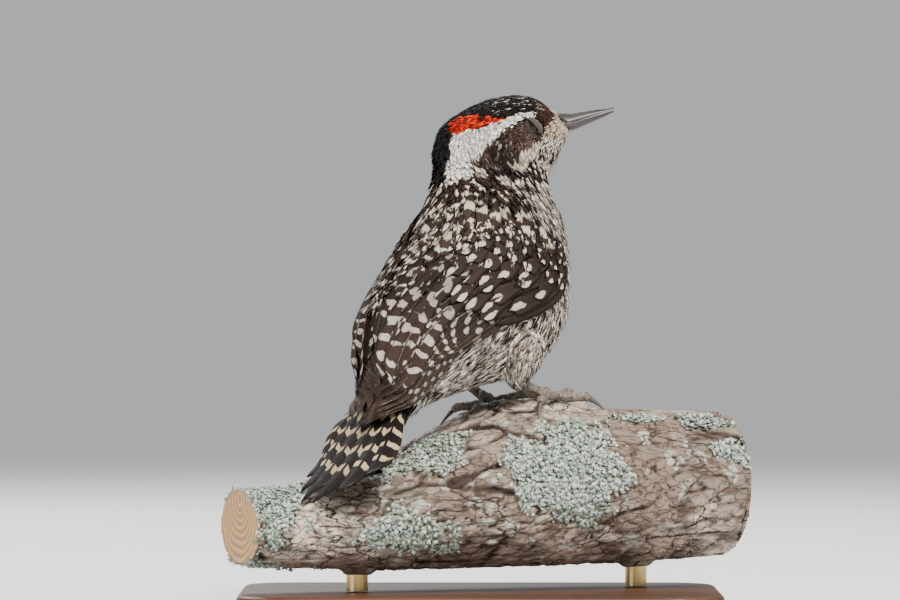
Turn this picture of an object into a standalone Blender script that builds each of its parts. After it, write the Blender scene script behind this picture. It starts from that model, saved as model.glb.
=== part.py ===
"""A checkered woodpecker at life size, perched on a short length of limb.

The bird sits half upright, its body turned away and its head turned back to
the side. A flat base and two short rods hold the limb. The sizes below are in
millimetres, and each mesh is written in metres. The bird's own places are
given as (along, left, up): along its heading, to its left and above the floor,
from the upright line that its neck turns about.
"""

import bmesh
import bpy
from math import cos, floor, pi, radians, sin, sqrt
from mathutils import Vector

MM = 0.001
GAP = 0.3                       # clear gap between pieces that meet

# The bird's place on the stand.
NECK_LINE = Vector((3.0, 2.5, 0.0))
BODY_HEADING = 40.0             # degrees left of the head's heading

# Body sections, from the tail root to the bill: heading of the section,
# dorsal (along, up), ventral (along, up), half width, squareness.
BODY = (
    (40, (-40.0, 60.5), (-31.5, 55.6), 7.0, 2.2),
    (40, (-40.8, 68.0), (-23.0, 60.0), 10.5, 2.2),
    (40, (-39.2, 77.5), (-8.0, 63.8), 14.0, 2.3),
    (40, (-35.5, 87.0), (5.5, 66.6), 16.2, 2.3),
    (40, (-30.0, 96.5), (16.5, 73.0), 17.2, 2.3),
    (40, (-24.8, 105.0), (22.8, 83.5), 17.0, 2.3),
    (40, (-20.8, 112.8), (24.2, 95.5), 16.0, 2.2),
    (36, (-18.3, 119.0), (22.3, 107.0), 14.3, 2.1),
    (22, (-16.5, 123.5), (17.0, 117.0), 13.0, 2.1),
    (7, (-16.3, 129.0), (16.2, 122.5), 12.0, 2.1),
    (0, (-14.2, 135.0), (18.3, 127.5), 11.4, 2.1),
    (0, (-8.0, 139.8), (19.8, 130.0), 10.6, 2.1),
    (0, (0.0, 143.2), (20.8, 131.5), 9.3, 2.1),
    (0, (8.0, 144.2), (21.4, 132.4), 7.9, 2.1),
    (0, (13.4, 142.6), (21.7, 133.0), 6.3, 2.1),
    (0, (16.8, 139.8), (21.9, 133.3), 4.6, 2.1),
    (0, (19.2, 138.9), (22.1, 133.6), 3.2, 2.1),
)
NECK_START = 7.5                # where the neck leaves the trunk, in sections
HEAD_START = 9.5
RINGS_PER_SECTION = 3
RING_POINTS = 28

# Wings, from tip to wrist: body section, where the wing begins and ends around
# the body (degrees from the midline of the back) and how thick it stands on it.
# A section below zero lies past the tail root.
WING = (
    (-0.9, 12, 24, 0.7),
    (-0.4, 5, 56, 1.2),
    (0.4, 4, 86, 1.8),
    (1.3, 4, 84, 2.2),
    (2.2, 5, 79, 2.5),
    (3.0, 8, 85, 2.6),
    (4.0, 14, 96, 2.6),
    (5.0, 26, 115, 2.5),
    (5.7, 44, 122, 2.2),
    (6.3, 66, 116, 1.2),
)
WING_ROWS = 17
WING_COLUMNS = 10
WING_EDGE = 0.55                # thickness left at the wing's edges
WING_PAST_ROOT = 11.0           # how far one section carries it past the tail root

# Tail: a fan of stiff feathers from the tail root, as (along, left, up).
TAIL_LINE = (
    Vector((-38.4, 0.0, 58.4)),
    Vector((-46.4, -0.4, 50.2)),
    Vector((-53.8, 1.0, 41.6)),
    Vector((-61.0, 6.0, 32.4)),
)
TAIL_ROOT_WIDTH = 9.0           # half widths
TAIL_WIDTH = 17.0
TAIL_SPREAD = 1.3               # how soon the fan reaches its width
TAIL_FEATHERS = 10
TAIL_SIDE_SHORTER = 0.42        # share by which the outer feathers are shorter
TAIL_SIDE_CURVE = 1.6
TAIL_NOTCH = 0.05               # depth of the notches between feather tips
TAIL_CAMBER = 2.2
TAIL_THICKNESS = 1.6
TAIL_REST = 0.9                 # height of its two sides where it rests on bark
TAIL_ROWS = 9
TAIL_COLUMNS = 31

# Bill: base and tip of the culmen, of the mouth line and of the lower edge, as
# (along, up) in the head's own plane.
CULMEN = ((19.6, 138.9), (26.6, 139.95), (33.9, 140.7))
MOUTH = ((21.1, 136.15), (27.6, 138.25), (33.85, 140.15))
LOWER_EDGE = ((22.4, 134.0), (28.1, 136.7), (33.7, 139.4))
MOUTH_GAP = 0.3
MOUTH_GAP_AT_TIP = 0.5
BILL_HALF_WIDTHS = (3.1, 1.9, 0.35)
BILL_KEEL = 1.15
BILL_RINGS = 9
BILL_POINTS = 11

# Eyes
EYE_PLACE = (11.4, 135.4)       # (along, up) in the head's own plane
EYE_RADIUS = 2.6
EYE_DEPTH = 6.75                # centre of the eye from the head's middle

# Legs: (along, left, up, radius) for the right leg; the left one is mirrored.
THIGH = (
    (0.0, -9.0, 80.0, 5.0),
    (0.5, -11.8, 75.0, 6.6),
    (-0.5, -12.6, 70.5, 5.6),
    (-0.6, -12.3, 66.8, 3.6),
    (0.8, -12.0, 64.8, 1.9),
)
FOOT = {"right": (9.8, -12.0), "left": (9.3, 12.0)}
FOOT_HEIGHT = 1.9
TARSUS_RADIUS = 1.15
# Along the shank: place, and radius as a share of the shank's.
TARSUS = (
    (0.0, 1.0), (0.35, 0.92), (0.7, 1.0), (0.84, 1.3), (0.93, 1.62), (1.0, 1.55), (1.07, 0.9),
)
ANKLE_GAP = 0.9
TOE_START = 3.2
# Toes: heading against the body's, length and radius. Two point forward and
# two back, as in all woodpeckers.
TOES = {
    "right": ((3, 9.6, 1.0), (-40, 11.8, 1.2), (146, 6.6, 0.9), (-140, 9.8, 1.1)),
    "left": ((19, 9.6, 1.0), (-24, 11.8, 1.2), (-146, 6.6, 0.9), (140, 9.8, 1.1)),
}
# Along each toe: how far and how high it arches; then its radius at those places.
TOE_LIFTS = ((0.0, 0.5), (0.3, 0.5), (0.6, 1.2), (0.85, 1.8), (1.0, 1.4))
TOE_SHARES = (0.84, 1.0, 0.92, 0.98, 0.7)
CLAW_LENGTH = 4.6
CLAW_GAP = 0.4
CLAW_RINGS = 6
TUBE_POINTS = 8

# Limb: distance along its line, half width, top and bottom heights.
LIMB_POINT = Vector((11.5, 6.0, 0.0))
LIMB_HEADING = 20.0
LIMB = (
    (-82.0, 17.0, 37.0, 15.5),
    (-68.0, 18.5, 37.6, 14.0),
    (-54.0, 20.5, 40.5, 13.4),
    (-40.0, 23.0, 46.0, 13.0),
    (-26.0, 26.0, 52.6, 13.0),
    (-12.0, 28.5, 59.0, 13.2),
    (2.0, 29.5, 60.6, 13.4),
    (16.0, 29.5, 59.4, 13.6),
    (30.0, 28.5, 58.4, 14.0),
    (44.0, 28.0, 58.0, 14.6),
    (58.0, 27.0, 57.4, 15.6),
)
LIMB_RINGS_PER_SECTION = 2
LIMB_POINTS = 28
LIMB_SQUARENESS = 2.15

# Stand
BASE_LENGTH = 132.0
BASE_WIDTH = 84.0
BASE_HEIGHT = 8.0
BASE_CORNER = 14.0
BASE_EDGE = 1.2
ROD_RADIUS = 3.0
ROD_PLACES = {"stand_rod_front": -48.0, "stand_rod_back": 34.0}

COLOURS = {
    "head": (0.10, 0.07, 0.06),
    "neck": (0.32, 0.29, 0.27),
    "trunk": (0.40, 0.37, 0.34),
    "tail": (0.05, 0.04, 0.035),
    "wing": (0.07, 0.05, 0.045),
    "thigh": (0.45, 0.42, 0.38),
    "foot": (0.30, 0.28, 0.25),
    "claw": (0.10, 0.09, 0.085),
    "bill": (0.20, 0.18, 0.19),
    "eye": (0.02, 0.012, 0.01),
    "limb": (0.30, 0.23, 0.19),
    "base": (0.13, 0.08, 0.05),
    "rod": (0.55, 0.52, 0.48),
}


def clear_scene():
    for item in list(bpy.data.objects):
        bpy.data.objects.remove(item, do_unlink=True)


def surface(kind, roughness, metallic=0.0):
    """The material of one kind of part."""
    material = bpy.data.materials.get(kind)
    if material is None:
        material = bpy.data.materials.new(kind)
        material.use_nodes = True
        shader = material.node_tree.nodes["Principled BSDF"]
        shader.inputs["Base Color"].default_value = (*COLOURS[kind], 1.0)
        shader.inputs["Roughness"].default_value = roughness
        shader.inputs["Metallic"].default_value = metallic
    return material


def add_object(name, mesh, material):
    item = bpy.data.objects.new(name, mesh)
    item.data.materials.append(material)
    bpy.context.scene.collection.objects.link(item)
    return item


def finish_mesh(name, shape):
    """Turn a bmesh in millimetres into a smooth mesh in metres."""
    bmesh.ops.recalc_face_normals(shape, faces=shape.faces)
    bmesh.ops.scale(shape, vec=(MM, MM, MM), verts=shape.verts)
    mesh = bpy.data.meshes.new(name)
    shape.to_mesh(mesh)
    shape.free()
    mesh.shade_smooth()
    mesh.set_sharp_from_angle(angle=radians(40))
    return mesh


def smooth_value(values, place):
    """A smooth curve through evenly spaced values, at a place counted in them."""
    last = len(values) - 1
    index = min(max(floor(place), 0), last - 1)
    part = place - index
    before = values[max(index - 1, 0)]
    start = values[index]
    end = values[index + 1]
    after = values[min(index + 2, last)]
    start_slope = (end - before) / (2 if index > 0 else 1)
    end_slope = (after - start) / (2 if index + 1 < last else 1)
    square = part * part
    cube = square * part
    return (
        start * (2 * cube - 3 * square + 1)
        + start_slope * (cube - 2 * square + part)
        + end * (3 * square - 2 * cube)
        + end_slope * (cube - square)
    )


def steps(start, end, count):
    return [start + (end - start) * i / (count - 1) for i in range(count)]


def heading_vectors(degrees):
    """The level directions forward and to the left of a heading."""
    forward = Vector((cos(radians(degrees)), sin(radians(degrees)), 0.0))
    return forward, Vector((-forward.y, forward.x, 0.0))


def bird_place(along, left, up, heading=BODY_HEADING):
    forward, side = heading_vectors(heading)
    return NECK_LINE + forward * along + side * left + Vector((0.0, 0.0, up))


def rounded(value, squareness):
    return abs(value) ** (2.0 / squareness) * (1 if value >= 0 else -1)


def body_point(place, angle, proud=0.0):
    """A point on the body: the angle runs from the back's midline to the right."""
    heading = smooth_value([s[0] for s in BODY], place)
    dorsal = [smooth_value([s[1][i] for s in BODY], place) for i in (0, 1)]
    ventral = [smooth_value([s[2][i] for s in BODY], place) for i in (0, 1)]
    width = smooth_value([s[3] for s in BODY], place)
    squareness = smooth_value([s[4] for s in BODY], place)
    top = bird_place(dorsal[0], 0.0, dorsal[1], heading)
    bottom = bird_place(ventral[0], 0.0, ventral[1], heading)
    middle = (top + bottom) / 2
    upward = (top - bottom) / 2
    right = -heading_vectors(heading)[1]
    upward = upward.normalized() * (upward.length + proud)
    across = right * (width + proud)
    return (
        middle
        + upward * rounded(cos(angle), squareness)
        + across * rounded(sin(angle), squareness)
    )


def loft(rings):
    """One closed body through rings of points, with flat ends."""
    shape = bmesh.new()
    loops = [[shape.verts.new(point) for point in ring] for ring in rings]
    for first, second in zip(loops, loops[1:]):
        for i in range(len(first)):
            j = (i + 1) % len(first)
            shape.faces.new((first[i], first[j], second[j], second[i]))
    ends = [shape.faces.new(loops[0]), shape.faces.new(loops[-1])]
    bmesh.ops.triangulate(shape, faces=ends)
    return shape


def body_rings(start, end):
    count = max(2, round((end - start) * RINGS_PER_SECTION) + 1)
    angles = [2 * pi * i / RING_POINTS for i in range(RING_POINTS)]
    return [
        [body_point(place, angle) for angle in angles]
        for place in steps(start, end, count)
    ]


def body_part(name, kind, start, end):
    mesh = finish_mesh(name, loft(body_rings(start, end)))
    return add_object(name, mesh, surface(kind, 0.8))


def part_gap(place):
    """How far along the sections a gap reaches, half of it on each side."""
    here = body_point(place - 0.05, pi / 2)
    there = body_point(place + 0.05, pi / 2)
    return 0.1 * GAP / (there - here).length / 2


def plate(outer, inner, rows, columns):
    """A thin closed body between two grids of points that share their edges."""
    shape = bmesh.new()
    layers = []
    for point_at in (outer, inner):
        grid = [
            [shape.verts.new(point_at(u, v)) for v in steps(0.0, 1.0, columns)]
            for u in steps(0.0, 1.0, rows)
        ]
        for i in range(rows - 1):
            for j in range(columns - 1):
                shape.faces.new(
                    (grid[i][j], grid[i][j + 1], grid[i + 1][j + 1], grid[i + 1][j])
                )
        layers.append(grid)
    rims = []
    for grid in layers:
        rim = [grid[0][j] for j in range(columns)]
        rim += [grid[i][-1] for i in range(1, rows)]
        rim += [grid[-1][j] for j in range(columns - 2, -1, -1)]
        rim += [grid[i][0] for i in range(rows - 2, 0, -1)]
        rims.append(rim)
    for i in range(len(rims[0])):
        j = (i + 1) % len(rims[0])
        shape.faces.new((rims[0][i], rims[0][j], rims[1][j], rims[1][i]))
    return shape


def wing_point(u, v, side, layer):
    """A point of the wing: u runs from its tip to its wrist, v from the back down."""
    place = u * (len(WING) - 1)
    section, first, last, thick = (
        smooth_value([row[i] for row in WING], place) for i in range(4)
    )
    angle = radians(first + (last - first) * v)
    swell = sqrt(4 * v * (1 - v))
    proud = GAP + layer * (WING_EDGE + (thick - WING_EDGE) * swell)
    if section < 0:
        root = body_point(0.0, side * angle, proud)
        onward = (TAIL_LINE[1] - TAIL_LINE[0]).normalized() * -section * WING_PAST_ROOT
        return root + bird_place(*onward) - NECK_LINE
    return body_point(section, side * angle, proud)


def add_wing(name, side):
    shape = plate(
        lambda u, v: wing_point(u, v, side, 1.0),
        lambda u, v: wing_point(u, v, side, 0.0),
        WING_ROWS,
        WING_COLUMNS,
    )
    return add_object(name, finish_mesh(name, shape), surface("wing", 0.75))


def tail_point(u, v, layer):
    """A point of the tail: u runs from root to tip, v from the right to the left."""
    across = 2 * v - 1
    shorter = TAIL_SIDE_SHORTER * abs(across) ** TAIL_SIDE_CURVE
    feather_tip = TAIL_NOTCH * abs(sin(pi * TAIL_FEATHERS * v)) * u ** 4
    reach = u * (1 - shorter - TAIL_NOTCH + feather_tip)
    place = reach * (len(TAIL_LINE) - 1)
    line = [smooth_value([point[i] for point in TAIL_LINE], place) for i in range(3)]
    spread = min(1.0, TAIL_SPREAD * reach)
    half = TAIL_ROOT_WIDTH + (TAIL_WIDTH - TAIL_ROOT_WIDTH) * sin(spread * pi / 2)
    droop = TAIL_CAMBER * across * across + TAIL_THICKNESS * (1 - layer)
    underside = (TAIL_LINE[-1] - TAIL_LINE[0]).cross(Vector((0.0, 1.0, 0.0))).normalized()
    place = Vector(line) + Vector((0.0, half * across, 0.0)) + underside * droop
    place = bird_place(*place)
    place.z = max(place.z, limb_top(place) + GAP + TAIL_REST * (1 + layer))
    return place


def add_tail():
    shape = plate(
        lambda u, v: tail_point(u, v, 1.0),
        lambda u, v: tail_point(u, v, 0.0),
        TAIL_ROWS,
        TAIL_COLUMNS,
    )
    return add_object("tail", finish_mesh("tail", shape), surface("tail", 0.7))


def curve_point(points, place):
    return [smooth_value([p[i] for p in points], 2 * place) for i in (0, 1)]


def bill_ring(start, depth, width):
    """A mandible's section: a flat mouth side and a keeled, rounded outer side."""
    points = []
    for i in range(BILL_POINTS):
        angle = pi * i / (BILL_POINTS - 1)
        across = Vector((0.0, width * cos(angle), 0.0))
        points.append(start + depth * sin(angle) ** BILL_KEEL + across)
    return points


def add_bill_half(name, edge, sign):
    """One mandible, between the mouth line and its outer edge."""
    rings = []
    for place in steps(0.0, 1.0, BILL_RINGS):
        mouth = curve_point(MOUTH, place)
        outer = curve_point(edge, place)
        gap = MOUTH_GAP + (MOUTH_GAP_AT_TIP - MOUTH_GAP) * place ** 3
        width = smooth_value(BILL_HALF_WIDTHS, 2 * place)
        start = bird_place(mouth[0], 0.0, mouth[1] + sign * gap / 2, 0.0)
        depth = bird_place(outer[0], 0.0, outer[1], 0.0) - start
        rings.append(bill_ring(start, depth, width))
    mesh = finish_mesh(name, loft(rings))
    return add_object(name, mesh, surface("bill", 0.4))


def ball(centre, radius, detail=3):
    shape = bmesh.new()
    bmesh.ops.create_icosphere(shape, subdivisions=detail, radius=radius)
    bmesh.ops.translate(shape, vec=centre, verts=shape.verts)
    return shape


def eye_centre(side):
    along, up = EYE_PLACE
    return bird_place(along, -side * EYE_DEPTH, up, 0.0)


def cut(target, cutter_shape, name):
    """Cut a shape out of an object, keeping the cutter as a hidden guide."""
    cutter = add_object(name, finish_mesh(name, cutter_shape), surface("foot", 0.6))
    cutter.hide_render = True
    cutter.display_type = "WIRE"
    carve = target.modifiers.new(name, "BOOLEAN")
    carve.operation = "DIFFERENCE"
    carve.solver = "EXACT"
    carve.object = cutter


def add_eyes(head):
    for word, side in (("right", 1), ("left", -1)):
        centre = eye_centre(side)
        name = "eye_" + word
        add_object(name, finish_mesh(name, ball(centre, EYE_RADIUS, 2)), surface("eye", 0.1))
        cut(head, ball(centre, EYE_RADIUS + GAP, 2), "socket_" + word)


def tube(path, radii, points=TUBE_POINTS, upright=Vector((0.0, 0.0, 1.0))):
    """A round body along a path that never runs along its upright direction."""
    rings = []
    for i, centre in enumerate(path):
        before = path[max(i - 1, 0)]
        after = path[min(i + 1, len(path) - 1)]
        direction = (after - before).normalized()
        side = direction.cross(upright).normalized()
        up = side.cross(direction)
        rings.append(
            [
                centre
                + side * radii[i] * cos(2 * pi * k / points)
                + up * radii[i] * sin(2 * pi * k / points)
                for k in range(points)
            ]
        )
    return loft(rings)


def mirrored(place, side):
    return Vector((place[0], place[1] * side, place[2]))


def limb_top(point):
    """The height of the limb's upper surface at a place."""
    forward, left = heading_vectors(LIMB_HEADING)
    away = point - LIMB_POINT
    along = away.x * forward.x + away.y * forward.y
    across = away.x * left.x + away.y * left.y
    half_width, top, bottom = limb_section(along)
    share = min(0.98, abs(across) / half_width)
    rise = (1 - share ** LIMB_SQUARENESS) ** (1 / LIMB_SQUARENESS)
    return (top + bottom) / 2 + (top - bottom) / 2 * rise


def limb_section(along):
    spacing = LIMB[1][0] - LIMB[0][0]
    place = (along - LIMB[0][0]) / spacing
    return [smooth_value([row[i] for row in LIMB], place) for i in (1, 2, 3)]


def thigh_shape(side, proud):
    path = [bird_place(*mirrored(row, side)) for row in THIGH]
    path = [
        Vector([smooth_value([p[i] for p in path], place) for i in range(3)])
        for place in steps(0.0, len(THIGH) - 1, 11)
    ]
    radii = [
        smooth_value([row[3] for row in THIGH], place) + proud
        for place in steps(0.0, len(THIGH) - 1, 11)
    ]
    path[0] = path[0] + (path[0] - path[1]).normalized() * proud
    path[-1] = path[-1] + (path[-1] - path[-2]).normalized() * proud
    return tube(path, radii, 14, heading_vectors(BODY_HEADING)[0])


def foot_centre(word):
    along, left = FOOT[word]
    place = bird_place(along, left, 0.0)
    place.z = limb_top(place) + FOOT_HEIGHT
    return place


def add_tarsus(word, side):
    """The bare shank, which swells into the joint that the toes leave."""
    ankle = bird_place(*mirrored(THIGH[-1], side))
    foot = foot_centre(word)
    along = (foot - ankle).normalized()
    start = ankle + along * ANKLE_GAP
    length = (foot - start).length
    path = [start + along * length * place for place, _ in TARSUS]
    radii = [TARSUS_RADIUS * swell for _, swell in TARSUS]
    name = "tarsus_" + word
    add_object(name, finish_mesh(name, tube(path, radii, 10)), surface("foot", 0.6))


def toe_path(word, toe):
    """Points along the toe and its claw, resting on the limb."""
    turn, length, radius = TOES[word][toe]
    forward, _ = heading_vectors(BODY_HEADING + turn)
    foot = foot_centre(word)
    places = []
    for share, lift in TOE_LIFTS:
        place = foot + forward * (TOE_START + (length - TOE_START) * share)
        place.z = limb_top(place) + radius + GAP + lift
        places.append(place)
    return places, forward, radius


def add_toe(word, toe):
    places, forward, radius = toe_path(word, toe)
    radii = [radius * share for share in TOE_SHARES]
    name = f"toe_{toe + 1}_{word}"
    add_object(name, finish_mesh(name, tube(places, radii)), surface("foot", 0.6))
    add_claw(word, toe, places, forward, radius)


def add_claw(word, toe, toe_places, forward, radius):
    """A hooked claw that ends just clear of the bark."""
    onward = (toe_places[-1] - toe_places[-2]).normalized()
    first = toe_places[-1] + onward * CLAW_GAP
    top = first + onward * CLAW_LENGTH * 0.5
    tip = first + forward * CLAW_LENGTH * 0.86
    tip.z = limb_top(tip) + GAP + 0.1
    places = []
    for share in steps(0.0, 1.0, CLAW_RINGS):
        places.append(
            first * (1 - share) ** 2 + top * 2 * share * (1 - share) + tip * share ** 2
        )
    radii = [radius * (0.62 - 0.5 * share) for share in steps(0.0, 1.0, CLAW_RINGS)]
    name = f"claw_{toe + 1}_{word}"
    add_object(name, finish_mesh(name, tube(places, radii, 6)), surface("claw", 0.4))


def limb_rings():
    forward, left = heading_vectors(LIMB_HEADING)
    first, last = LIMB[0][0], LIMB[-1][0]
    count = (len(LIMB) - 1) * LIMB_RINGS_PER_SECTION + 1
    rings = []
    for along in steps(first, last, count):
        half_width, top, bottom = limb_section(along)
        centre = LIMB_POINT + forward * along
        ring = []
        for i in range(LIMB_POINTS):
            angle = 2 * pi * i / LIMB_POINTS
            across = rounded(cos(angle), LIMB_SQUARENESS) * half_width
            rise = rounded(sin(angle), LIMB_SQUARENESS) * (top - bottom) / 2
            ring.append(centre + left * across + Vector((0, 0, (top + bottom) / 2 + rise)))
        rings.append(ring)
    return rings


def add_limb():
    mesh = finish_mesh("branch", loft(limb_rings()))
    return add_object("branch", mesh, surface("limb", 0.9))


def add_base():
    """The base: a plate with round corners and a small chamfer round its top."""
    shape = bmesh.new()
    bmesh.ops.create_cube(shape, size=1.0)
    bmesh.ops.scale(shape, vec=(BASE_LENGTH, BASE_WIDTH, BASE_HEIGHT), verts=shape.verts)
    bmesh.ops.translate(shape, vec=(0, 0, BASE_HEIGHT / 2), verts=shape.verts)
    upright = [e for e in shape.edges if abs(e.verts[0].co.z - e.verts[1].co.z) > 1]
    bmesh.ops.bevel(
        shape, geom=upright, offset=BASE_CORNER, affect="EDGES", segments=8,
        profile=0.5, material=-1,
    )
    top = [e for e in shape.edges if min(v.co.z for v in e.verts) > BASE_HEIGHT - 0.01]
    bmesh.ops.bevel(
        shape, geom=top, offset=BASE_EDGE, affect="EDGES", segments=2,
        profile=0.5, material=-1,
    )
    mesh = finish_mesh("stand_base", shape)
    return add_object("stand_base", mesh, surface("base", 0.45))


def add_rod(name, along):
    """A rod from the base up to the underside of the limb."""
    forward, _ = heading_vectors(LIMB_HEADING)
    bottom = limb_section(along)[2]
    start = BASE_HEIGHT + GAP
    end = bottom - GAP
    shape = bmesh.new()
    bmesh.ops.create_cone(
        shape, cap_ends=True, segments=20, radius1=ROD_RADIUS, radius2=ROD_RADIUS,
        depth=end - start,
    )
    centre = LIMB_POINT + forward * along
    centre.z = (start + end) / 2
    bmesh.ops.translate(shape, vec=centre, verts=shape.verts)
    return add_object(name, finish_mesh(name, shape), surface("rod", 0.3, 1.0))


def main():
    clear_scene()
    last = len(BODY) - 1
    neck_gap = part_gap(NECK_START)
    head_gap = part_gap(HEAD_START)
    trunk = body_part("trunk", "trunk", 0.0, NECK_START - neck_gap)
    body_part("neck", "neck", NECK_START + neck_gap, HEAD_START - head_gap)
    head = body_part("head", "head", HEAD_START + head_gap, last)
    add_eyes(head)
    add_tail()
    for word, side in (("right", 1), ("left", -1)):
        add_wing("wing_" + word, side)
        name = "thigh_" + word
        mesh = finish_mesh(name, thigh_shape(side, 0.0))
        add_object(name, mesh, surface("thigh", 0.8))
        cut(trunk, thigh_shape(side, GAP), "thigh_room_" + word)
        add_tarsus(word, side)
        for toe in range(4):
            add_toe(word, toe)
    add_bill_half("bill_upper", CULMEN, 1)
    add_bill_half("bill_lower", LOWER_EDGE, -1)
    add_limb()
    add_base()
    for name, along in ROD_PLACES.items():
        add_rod(name, along)


main()
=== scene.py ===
from math import cos, hypot, pi, radians, sin

import bmesh
import bpy
import numpy as np
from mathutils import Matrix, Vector, noise
from mathutils.bvhtree import BVHTree
from mathutils.kdtree import KDTree


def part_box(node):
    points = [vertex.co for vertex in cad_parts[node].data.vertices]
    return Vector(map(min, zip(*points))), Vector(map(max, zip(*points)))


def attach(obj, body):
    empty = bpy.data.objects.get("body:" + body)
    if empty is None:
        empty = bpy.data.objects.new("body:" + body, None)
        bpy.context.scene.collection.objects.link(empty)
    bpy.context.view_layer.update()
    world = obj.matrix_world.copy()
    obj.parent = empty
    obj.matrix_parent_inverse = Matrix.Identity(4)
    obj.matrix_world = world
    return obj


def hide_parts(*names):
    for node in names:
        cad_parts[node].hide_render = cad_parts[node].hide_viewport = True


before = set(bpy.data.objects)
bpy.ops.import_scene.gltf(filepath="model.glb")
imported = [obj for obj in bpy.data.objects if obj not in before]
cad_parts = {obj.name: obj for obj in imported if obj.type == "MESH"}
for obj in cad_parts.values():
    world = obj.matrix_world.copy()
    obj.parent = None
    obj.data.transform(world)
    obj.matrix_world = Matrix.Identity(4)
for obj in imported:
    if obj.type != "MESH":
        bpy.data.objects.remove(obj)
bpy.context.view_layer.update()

# ---------------------------------------------------------------------------
# Skin. One hide over the head, neck, trunk and thighs, with no seam. It lies
# inside their solids by the depth of the coat, and carries the coat's markings.
# Sizes are in millimetres. The sections are those that the body's solids have:
# heading, dorsal (along, up), ventral (along, up), half width and squareness,
# from the tail root to the bill.
MM = 0.001
NECK_LINE = np.array((3.0, 2.5, 0.0))
BODY_HEADING = 40.0
BODY = np.array((
    (40, -40.0, 60.5, -31.5, 55.6, 7.0, 2.2),
    (40, -40.8, 68.0, -23.0, 60.0, 10.5, 2.2),
    (40, -39.2, 77.5, -8.0, 63.8, 14.0, 2.3),
    (40, -35.5, 87.0, 5.5, 66.6, 16.2, 2.3),
    (40, -30.0, 96.5, 16.5, 73.0, 17.2, 2.3),
    (40, -24.8, 105.0, 22.8, 83.5, 17.0, 2.3),
    (40, -20.8, 112.8, 24.2, 95.5, 16.0, 2.2),
    (36, -18.3, 119.0, 22.3, 107.0, 14.3, 2.1),
    (22, -16.5, 123.5, 17.0, 117.0, 13.0, 2.1),
    (7, -16.3, 129.0, 16.2, 122.5, 12.0, 2.1),
    (0, -14.2, 135.0, 18.3, 127.5, 11.4, 2.1),
    (0, -8.0, 139.8, 19.8, 130.0, 10.6, 2.1),
    (0, 0.0, 143.2, 20.8, 131.5, 9.3, 2.1),
    (0, 8.0, 144.2, 21.4, 132.4, 7.9, 2.1),
    (0, 13.4, 142.6, 21.7, 133.0, 6.3, 2.1),
    (0, 16.8, 139.8, 21.9, 133.3, 4.6, 2.1),
    (0, 19.2, 138.9, 22.1, 133.6, 3.2, 2.1),
))
PAST_ROOT_WAY = (-8.0, -0.4, -8.2)      # (along, left, up) past the tail root
PAST_ROOT_STEP = 11.0                   # how far one section goes there
FLESH = ("head", "neck", "trunk", "thigh_right", "thigh_left")
CLOSE_GAPS = 0.45
SKIN_VOXEL = 0.75
EYE = np.array((14.4, 2.5, 135.4))      # the eyes' height and place, in the head's middle
BILL_FROM_EYE = (9.0, 0.0, -1.0)
COAT_LEAST, COAT_MORE = 0.55, 1.5       # the coat's depth at the bill, and how much it gains
COAT_GAINS = (6.0, 42.0)                # between these distances from the bill


def unit(ways):
    return ways / np.maximum(np.linalg.norm(ways, axis=-1, keepdims=True), 1e-9)


def smooth_step(low, high, value):
    share = np.clip((value - low) / (high - low), 0.0, 1.0)
    return share * share * (3 - 2 * share)


def curve_at(table, place):
    """A smooth curve through a table's evenly spaced rows, at places counted in rows."""
    last = len(table) - 1
    place = np.asarray(place, float)
    index = np.clip(np.floor(place).astype(int), 0, last - 1)
    part = (place - index)[..., None]
    start, end = table[index], table[index + 1]
    start_slope = (end - table[np.maximum(index - 1, 0)]) / np.where(index > 0, 2, 1)[..., None]
    after = table[np.minimum(index + 2, last)]
    end_slope = (after - start) / np.where(index + 1 < last, 2, 1)[..., None]
    square, cube = part ** 2, part ** 3
    return (
        start * (2 * cube - 3 * square + 1)
        + start_slope * (cube - 2 * square + part)
        + end * (3 * square - 2 * cube)
        + end_slope * (cube - square)
    )


def level_ways(degrees):
    """The level directions forward and to the right of headings."""
    angle = np.radians(degrees)
    flat = np.zeros_like(angle)
    forward = np.stack([np.cos(angle), np.sin(angle), flat], -1)
    return forward, np.stack([forward[..., 1], -forward[..., 0], flat], -1)


def bird_way(along, left, up):
    forward, right = level_ways(BODY_HEADING)
    return forward * along - right * left + np.array((0.0, 0.0, up))


def body_at(place, angle, proud=0.0):
    """Points of the body: the angle runs from the back's midline to the right."""
    place, angle, proud = np.broadcast_arrays(place, angle, proud)
    row = curve_at(BODY, np.clip(place, 0.0, len(BODY) - 1))
    forward, right = level_ways(row[..., 0])
    up = np.array((0.0, 0.0, 1.0))
    top = forward * row[..., 1:2] + up * row[..., 2:3]
    bottom = forward * row[..., 3:4] + up * row[..., 4:5]
    half = (top - bottom) / 2
    tall = np.linalg.norm(half, axis=-1, keepdims=True)
    power = 2 / row[..., 6:7]
    rise, reach = np.cos(angle)[..., None], np.sin(angle)[..., None]
    rise = np.sign(rise) * np.abs(rise) ** power
    reach = np.sign(reach) * np.abs(reach) ** power
    past = unit(bird_way(*PAST_ROOT_WAY)) * PAST_ROOT_STEP * -np.minimum(place, 0.0)[..., None]
    return (
        NECK_LINE + (top + bottom) / 2 + past
        + half / tall * (tall + proud[..., None]) * rise
        + right * (row[..., 5:6] + proud[..., None]) * reach
    )


def body_ways(place, angle, proud=0.0):
    """Outward and tailward directions at places on the body."""
    step = 0.02
    tailward = unit(body_at(place - step, angle, proud) - body_at(place + step, angle, proud))
    around = unit(body_at(place, angle + step, proud) - body_at(place, angle - step, proud))
    return unit(np.cross(tailward, around)), tailward


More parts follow.
